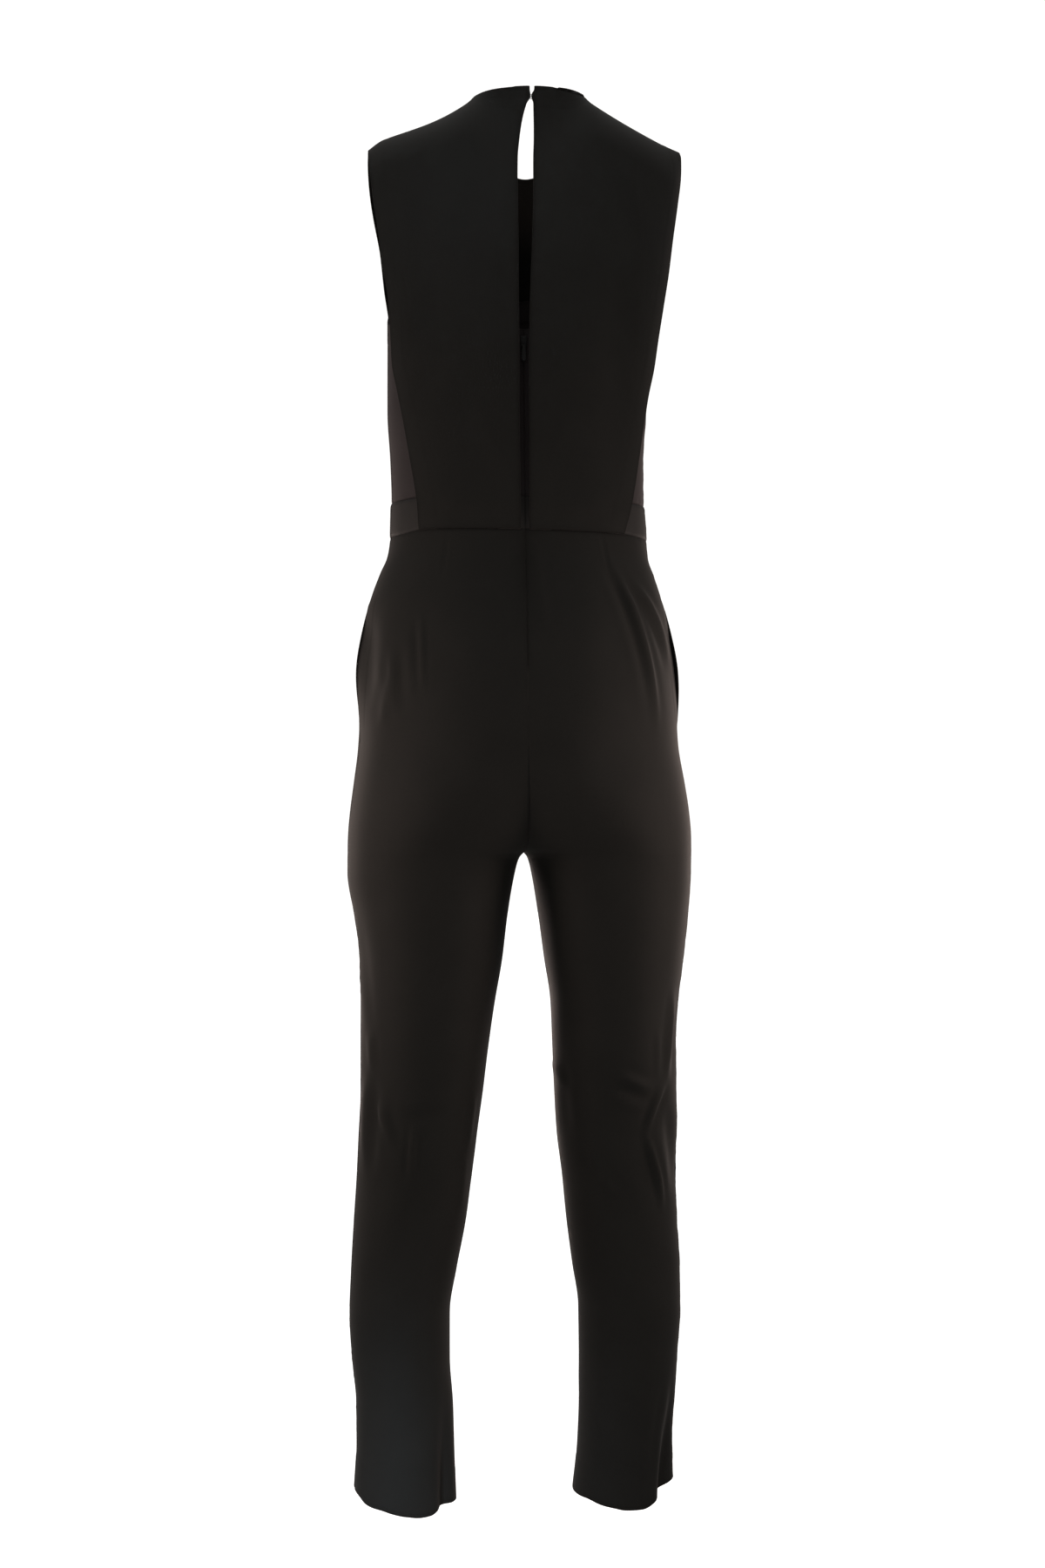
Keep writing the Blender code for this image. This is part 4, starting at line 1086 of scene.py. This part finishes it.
def on_band(points, turn):
    """The band lies a little outside the bodice, and most in its middle."""
    height = np.linspace(-1, 1, len(points))[:, None, None]
    return points + normals_of(points, turn) * (BAND_PROUD + BAND_ROUND * (1 - height**2))


band_rows = mix(BAND_TOP, WAIST, spaced(22))
edges = around(SEWN, SEWN, SEWN, BAND_FOOT)
for side, name in SIDES.items():
    points = on_band(grid_of(0.5 * spaced(56), band_rows, partial(bodice_skin, side)), side)
    # Beside the zip the satin also takes the wide painted shade of the slit.
    add_panel("waistband_back_" + name, points, side, edges, satin, zip_edge="start")
points = on_band(both_halves(columns, band_rows, bodice_skin), -1)
add_panel("waistband_front", points, -1, edges, satin)

# %% [markdown]
# ## Overlay
#
# The overlay hangs from the shoulders and neck, and only touches the body again at the waist seam.
# Its back is two panels with a slit between them, which opens to a narrow leaf shape below the
# hook and closes to a thin gap lower down.  Its outer edges are the armholes and run on down to
# the waist, so the bodice shows beside them.  Near the waist the cloth is drawn in, because it is
# caught in the same seam as the band.

# %% Folds of the overlay
FOLDS |= {
    "overlay_back_left": (
        (34, -90, 30, -400, 6, 22, 1.6), (78, -60, 66, -405, -6, 20, 1.4),
        (116, -80, 92, -400, 4, 14, 1.5), (54, -150, 48, -420, 2, 16, -1.4),
        (110, -390, 40, -416, 3, 9, -0.8),
    ),
    "overlay_back_right": (
        (-30, -100, -28, -405, -5, 20, 1.5), (-74, -70, -62, -405, 5, 22, 1.5),
        (-120, -70, -92, -400, -4, 15, 1.6), (-96, -160, -80, -415, -3, 13, -1.2),
        (-104, -392, -44, -417, -3, 9, -0.8),
    ),
    "overlay_front": (
        (-8, -110, -4, -400, 5, 24, 1.6), (52, -120, 46, -405, -4, 18, 1.8),
        (-56, -130, -50, -402, 4, 20, 1.5), (104, -90, 86, -400, 5, 15, 1.6),
        (-108, -100, -88, -398, -5, 14, 1.7), (38, -72, 88, -140, 5, 13, 1.2),
        (-52, -72, -98, -146, -5, 13, 1.1), (24, -150, 22, -410, 2, 12, -1.3),
        (-30, -160, -26, -408, -2, 13, -1.1),
    ),
}
print("folds in the overlay:", sum(len(FOLDS[n]) for n in FOLDS if n.startswith("overlay")))

# %% Overlay panels
CAUGHT = Edge(0.3, 0, 0)  # the overlay's foot, which is flat in the waist seam
TUCK = 24.0  # the overlay is drawn in over this much of its length above the waist seam
OVER_BAND = CLOTH + 0.9
SMOOTHINGS, SMOOTH_FROM, SMOOTH_OVER = 60, 3.0, 25.0
SHOULDER_PULL, SHOULDER_START = 0.8, 0.02  # of its seam, and the share it takes to begin
OVERLAY_ROWS = spaced(250, 0.5) ** 2  # closest together where the panel turns over the shoulder


def tucked(points, face):
    """Draw the lowest part of a panel in, to lie on the waistband."""
    left, right, *depths = TORSO.read(WAIST, "left", "right", "back", "front")
    depth = depths[0] if face > 0 else depths[1]
    off_centre = np.abs((points[..., 0] - (left - right) / 2) / ((left + right) / 2))
    body = depth * np.maximum(1 - off_centre**ROUNDNESS, 0) ** (1 / ROUNDNESS)
    down = lengths_along(points, 0)
    share = ease(1 - (down[-1:] - down) / TUCK)
    points[..., 1] = mix(points[..., 1], face * (body + OVER_BAND), share)
    return points


def smoothed_across(points):
    """Even out the bend below the place where neckline and shoulder seam meet."""
    evened = points.copy()
    for _ in range(SMOOTHINGS):
        evened[:, 1:-1] = (evened[:, :-2] + 2 * evened[:, 1:-1] + evened[:, 2:]) / 4
    share = ease((lengths_along(points, 0) - SMOOTH_FROM) / SMOOTH_OVER)[..., None]
    return mix(points, evened, share)


def top_edge(columns):
    """The top of a panel is faced along the neck, and sewn at the shoulder."""
    shoulder = ease((np.abs(columns) - NECK_SHARE) / SHOULDER_START + 0.5)[None, :]
    return Edge(SHOULDER_PULL * shoulder, 1 - shoulder, FACING_DEPTH)


columns = spaced(84)
for side, name in SIDES.items():
    points = smoothed_across(grid_of(columns, OVERLAY_ROWS, partial(overlay_skin, 1, side)))
    edges = around(FACED, FACED, top_edge(columns), CAUGHT)
    node = "overlay_back_" + name
    add_panel(node, tucked(points, 1), side, edges, crepe, FOLDS[node])
points = smoothed_across(both_halves(columns, OVERLAY_ROWS, partial(overlay_skin, -1)))
whole = np.concatenate((-columns[:0:-1], columns))
edges = around(FACED, FACED, top_edge(whole), CAUGHT)
add_panel("overlay_front", tucked(points, -1), -1, edges, crepe, FOLDS["overlay_front"])

# %% [markdown]
# ## Pocket bags and the zip's tape
#
# Two thin pieces that are only seen from inside.  A bag hangs inside each trouser front, and the
# zip's two tapes are sewn to the seam's turned-in edges, so that the closed zip doesn't show.

# %% Pocket bags
POCKET_INSIDE, THIN_CLOTH = 3.2, 0.8
BAG_BACK, BAG_FRONT, BAG_TOP = 0.05, -0.62, WAIST - 10  # shares of the trousers, and its height
BAG_LOWEST, BAG_ROUND, BAG_SHORTEST = 0.375, 2.5, POCKET_END - 12


def pocket_place(side, share, depth):
    end = mix(POCKET_DEPTH, BAG_SHORTEST, np.abs(share * 2 - BAG_LOWEST * 2) ** BAG_ROUND)
    return trouser_skin(side, mix(BAG_BACK, BAG_FRONT, share), mix(BAG_TOP, end, depth))


for side, name in SIDES.items():
    points = grid_of(spaced(50), spaced(80), partial(pocket_place, side))
    points = points - normals_of(points, side) * POCKET_INSIDE
    edges = around(SEWN, SEWN, SEWN, SEWN)
    add_panel("pocket_bag_" + name, points, side, edges, pocketing, wall=THIN_CLOTH)


# %% Zip tape
ZIP_TAPE_WIDTH, TAPE_INSIDE = 22.0, 2.4


def back_depth(x, height):
    """y of the bodice's and trousers' outer face near the centre back."""
    sizes = []
    for table, names in ((TORSO, ("left", "right")), (LEGS, ("left_out", "right_out"))):
        left, right, back = table.read(height, *names, "back")
        off_centre = np.abs((x - (left - right) / 2) / ((left + right) / 2))
        sizes.append(back * np.maximum(1 - off_centre**ROUNDNESS, 0) ** (1 / ROUNDNESS))
    return np.where(height > WAIST, *sizes)


def tape_place(across, height):
    x = centre_x(height) + across * ZIP_TAPE_WIDTH / 2
    return np.stack((x, back_depth(x, height) - TAPE_INSIDE, height), -1)


points = grid_of(np.linspace(-1, 1, 25), np.linspace(ZIP_TOP, ZIP_END, 160), tape_place)
add_panel("zip_tape", points, 1, {}, tape_weave, wall=THIN_CLOTH)

# %% [markdown]
# ## Zip teeth and stitches
#
# A concealed zip has a nylon coil on each tape, and each turn of it is a small bar with a round
# head that locks between two heads of the other side.  Stitches are just as regular.  Both are
# work for Geometry Nodes: a tree takes a line, cuts it into equal steps and puts one small shape
# at each step.  A few of its sizes are inputs, so one tree makes every row of stitches.
#
# Thread is never laid quite evenly, so each stitch gets a slightly different size from a random
# value with a fixed seed.

# %% Grow shapes along lines
SMALLEST, LARGEST = 0.88, 1.08  # how much the shapes' sizes differ


def grow(name, lines, tree, values):
    """Run a tree along lines of points, in millimetres, and keep the result as a plain mesh."""
    points, pairs = [], []
    for line in lines:
        pairs += [(len(points) + k, len(points) + k + 1) for k in range(len(line) - 1)]
        points += (np.asarray(line) * MM).tolist()
    path = bpy.data.meshes.new(name + "_path")
    path.from_pydata(points, pairs, [])
    made = add_object(name, path)
    grower = made.modifiers.new("grow", "NODES")
    grower.node_group = tree
    sockets = {s.name: s.identifier for s in tree.interface.items_tree if s.in_out == "INPUT"}
    for key, value in values.items():
        grower[sockets[key]] = value
    bpy.context.view_layer.update()
    ready = bpy.context.evaluated_depsgraph_get()
    mesh = bpy.data.meshes.new_from_object(made.evaluated_get(ready), depsgraph=ready)
    made.modifiers.clear()
    made.data = mesh
    mesh.name = name
    print(f"{name}: {len(mesh.polygons)} faces")
    return made


def scaled_ball(tree, *radii, shift=(0, 0, 0)):
    """A ball of a few dozen faces, with these radii."""
    rounds = {"Segments": 6, "Rings": 5, "Radius": 1.0}
    ball = add_node(tree, "GeometryNodeMeshUVSphere", rounds)[0]
    sizes = add_node(tree, "ShaderNodeCombineXYZ", radii)[0]
    values = {0: ball, "Scale": sizes, "Translation": shift}
    return add_node(tree, "GeometryNodeTransform", values)[0]


def make_row_tree(name, sizes, make_shape):
    """Cut the given lines into steps, and put one shape at each, its z along the line."""
    common = (("Geometry", "Geometry"), ("Pitch", "Float", 0.003), ("Seed", "Int", 1))
    own = [(label, "Float", size) for label, size in sizes.items()]
    inputs = (*common, ("Material", "Material"), *own)
    tree, given = new_group(name, "GeometryNodeTree", inputs, common[:1])
    line = add_node(tree, "GeometryNodeMeshToCurve", (given["Geometry"],))[0]
    values = {"Curve": line, "Length": given["Pitch"]}
    cut = add_node(tree, "GeometryNodeResampleCurve", values, mode="LENGTH")[0]
    tangent = {"Vector": add_node(tree, "GeometryNodeInputTangent")[0]}
    turn = add_node(tree, "FunctionNodeAlignRotationToVector", tangent, axis="Z")[0]
    values = {2: SMALLEST, 3: LARGEST, "Seed": given["Seed"]}
    size = add_node(tree, "FunctionNodeRandomValue", values, data_type="FLOAT")[1]
    values = {"Points": cut, "Instance": make_shape(tree, given), "Rotation": turn, "Scale": size}
    placed = add_node(tree, "GeometryNodeInstanceOnPoints", values)[0]
    smoothed = add_node(tree, "GeometryNodeSetShadeSmooth", (placed,))[0]
    real = add_node(tree, "GeometryNodeRealizeInstances", (smoothed,))[0]
    values = {"Geometry": real, "Material": given["Material"]}
    painted = add_node(tree, "GeometryNodeSetMaterial", values)[0]
    add_node(tree, "NodeGroupOutput", (painted,))
    return tree


# %% The two trees
HEAD_WIDER = 1.35


def stitch_shape(tree, given):
    return scaled_ball(tree, given["Radius"], given["Radius"], given["Half Length"])


def tooth_shape(tree, given):
    """A bar with a round head."""
    radius = given["Radius"]
    bar = scaled_ball(tree, given["Half Width"], radius, radius)
    wider = math_node(tree, "MULTIPLY", radius, HEAD_WIDER)
    shift = add_node(tree, "ShaderNodeCombineXYZ", (given["Head Shift"],))[0]
    head = scaled_ball(tree, wider, wider, radius, shift=shift)
    both = tree.nodes.new("GeometryNodeJoinGeometry")
    for shape in (bar, head):
        tree.links.new(shape, both.inputs[0])
    return both.outputs[0]


STITCH = {"Half Length": 0.0011, "Radius": 0.00016}
TOOTH = {"Half Width": 0.0013, "Radius": 0.0004, "Head Shift": 0.001}
stitch_tree = make_row_tree("stitch_row", STITCH, stitch_shape)
tooth_tree = make_row_tree("zip_tooth_row", TOOTH, tooth_shape)
print("trees:", stitch_tree.name, "and", tooth_tree.name)

# %% [markdown]
# ## Thread, nylon and enamelled metal
#
# These pieces are a few millimetres long, so their finish is mostly gloss.  Thread is soft and
# slightly hairy, nylon is smooth, and the slider, hook and eye are metal with black enamel that
# has rubbed thinner in places.  They have no UV map, so their patterns read Object coordinates.

# %% Small finishes
ROUGHNESS_RANGE = 0.3  # between the glossiest speckle and the dullest


def make_speckle():
    """A pattern of fine speckles, as a group that every small finish uses."""
    inputs = (
        ("Place", "Vector"),
        ("Dark", "Color", (0.01, 0.01, 0.01, 1)),
        ("Light", "Color", (0.03, 0.03, 0.03, 1)),
        ("Size", "Float", 0.0005),
        ("Roughness", "Float", 0.5),
    )
    tree, given = new_group("speckle", "ShaderNodeTree", inputs, FINISH_OUTPUTS)
    maths = partial(math_node, tree)
    finer = maths("DIVIDE", 1.0, given["Size"])
    values = {"Vector": given["Place"], "Scale": finer, "Detail": 3.0}
    noise = add_node(tree, "ShaderNodeTexNoise", values)[0]
    smoother = maths("SUBTRACT", given["Roughness"], ROUGHNESS_RANGE / 2)
    rough = maths("ADD", smoother, maths("MULTIPLY", noise, ROUGHNESS_RANGE))
    values = {"Color": mixed_colour(tree, noise, given), "Roughness": rough, "Height": noise}
    add_node(tree, "NodeGroupOutput", values)
    return tree


speckle = make_speckle()
SMALL_FINISHES = {
    # name: dark and light colour, size of the speckles, roughness, relief, specular
    "black_thread": ((0.006, 0.006, 0.006), (0.016, 0.015, 0.015), 0.0002, 0.6, 0.00003, 0.2),
    "nylon_coil": ((0.008, 0.008, 0.008), (0.014, 0.014, 0.014), 0.0004, 0.4, 0.00001, 0.25),
    "black_enamel": ((0.006, 0.006, 0.006), (0.014, 0.0135, 0.013), 0.0012, 0.45, 0.00001, 0.2),
}
small = []
for name, (dark, light, size, roughness, relief, specular) in SMALL_FINISHES.items():
    values = {"Dark": (*dark, 1), "Light": (*light, 1), "Size": size, "Roughness": roughness}
    shader = {"Specular IOR Level": specular}
    small.append(make_finish(name, speckle, "object", (0.5, relief), shader, values))
thread, nylon, enamel = small
print("small finishes:", ", ".join(SMALL_FINISHES))

# %% Zip teeth
TOOTH_PITCH, TOOTH_OUT, HEAD_SHIFT = 1.2, 1.1, 0.9
TEETH_INSIDE = 0.5  # how far they lie inside the tape
ROW_START = {1: 1.0, -1: 1.0 + TOOTH_PITCH / 2}  # the two rows lock, so one is half a tooth lower
extras = []
for side, name in SIDES.items():
    heights = np.arange(ZIP_TOP - ROW_START[side], ZIP_END + 4, -3.0)
    x = centre_x(heights) + side * TOOTH_OUT
    y = back_depth(x, heights) - TAPE_INSIDE - THIN_CLOTH - TEETH_INSIDE
    values = {
        "Pitch": TOOTH_PITCH * MM,
        "Head Shift": -side * HEAD_SHIFT * MM,
        "Seed": 3,
        "Material": nylon,
    }
    line = np.stack((x, y, heights), -1)
    extras.append(grow("zip_teeth_" + name, [line], tooth_tree, values))


# %% Rows of stitches
STITCH_RADIUS, STITCH_PROUD = 0.16, 0.02


def row_beside(node, place, distance):
    """A line along one edge of a panel, this far from it, just off its inner face."""
    panel = panels[node]
    surface = panel.inner - panel.normal * STITCH_PROUD
    off = np.abs(panel.away[place] - distance)
    if place in ("start", "end"):
        return surface[np.arange(len(surface)), off.argmin(1)]
    return surface[off.argmin(0), np.arange(surface.shape[1])]


def edges_of(words, *places):
    """These edges of each panel whose name starts with these words."""
    return [(node, place) for node in panels if node.startswith(words) for place in places]


ARMHOLES = edges_of("overlay_back", "end") + edges_of("overlay_front", "start", "end")
ROWS = (
    # name, edges, distance from them, pitch, and the share of it that a stitch takes
    ("hem_stitches", edges_of("trouser", "bottom"), HEM_DEPTH - 1.5, 5.0, 0.45),
    ("slit_stitches", edges_of("overlay_back", "start"), 2.2, 2.6, 0.68),
    ("armhole_stitches", ARMHOLES, 2.2, 2.6, 0.68),
    ("zip_tape_stitches", edges_of("zip_tape", "start", "end"), 3.5, 2.4, 0.68),
)
for name, edges, distance, pitch, share in ROWS:
    lines = [row_beside(node, place, distance) for node, place in edges]
    values = {
        "Pitch": pitch * MM,
        "Half Length": pitch * share / 2 * MM,
        "Radius": STITCH_RADIUS * MM,
        "Seed": 1,
        "Material": thread,
    }
    extras.append(grow(name, lines, stitch_tree, values))


# %% [markdown]
# ## Put it together
#
# Every piece rides on the garment's moving body, and each part of the imported model that a
# piece of cloth stands for is hidden.  The small metal parts take the enamel finish.  The table
# below lists the size each piece of cloth was cut to, and what it hangs from or lies on.

# %% Cut sizes of the cloth
CUT = {
    # piece: width, length and, where it tapers, area in metres, and what it hangs from or lies on
    "trouser_back_left": (0.275, 0.99, 0.194, "waistband_back_left"),
    "trouser_back_right": (0.275, 0.99, 0.191, "waistband_back_right"),
    "trouser_front_left": (0.285, 0.99, 0.204, "waistband_front"),
    "trouser_front_right": (0.285, 0.99, 0.200, "waistband_front"),
    "overlay_back_left": (0.17, 0.44, 0.062, "overlay_front"),
    "overlay_back_right": (0.18, 0.44, 0.066, "overlay_front"),
    "overlay_front": (0.34, 0.47, 0.125, "overlay_back_left overlay_back_right"),
    "bodice_back_left": (0.165, 0.18, 0.027, "waistband_back_left"),
    "bodice_back_right": (0.165, 0.18, 0.027, "waistband_back_right"),
    "bodice_front": (0.385, 0.25, 0.087, "waistband_front"),
    "waistband_back_left": (0.165, 0.031, None, "bodice_back_left"),
    "waistband_back_right": (0.165, 0.031, None, "bodice_back_right"),
    "waistband_front": (0.385, 0.031, None, "bodice_front"),
    "pocket_bag_left": (0.17, 0.27, 0.031, "trouser_front_left"),
    "pocket_bag_right": (0.17, 0.27, 0.031, "trouser_front_right"),
    "zip_tape": (0.023, 0.323, None, "bodice_back_left bodice_back_right"),
}
for node, (width, length, area, upon) in CUT.items():
    piece = panels[node].piece
    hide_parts(node)
    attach(piece, "garment")
for piece in extras:
    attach(piece, "garment")
for node in ("zip_slider", "zip_pull_tab", "neck_hook", "neck_eye"):
    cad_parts[node].material_slots[0].material = enamel
print("cloth pieces:", len(CUT), "and small ones:", len(extras))
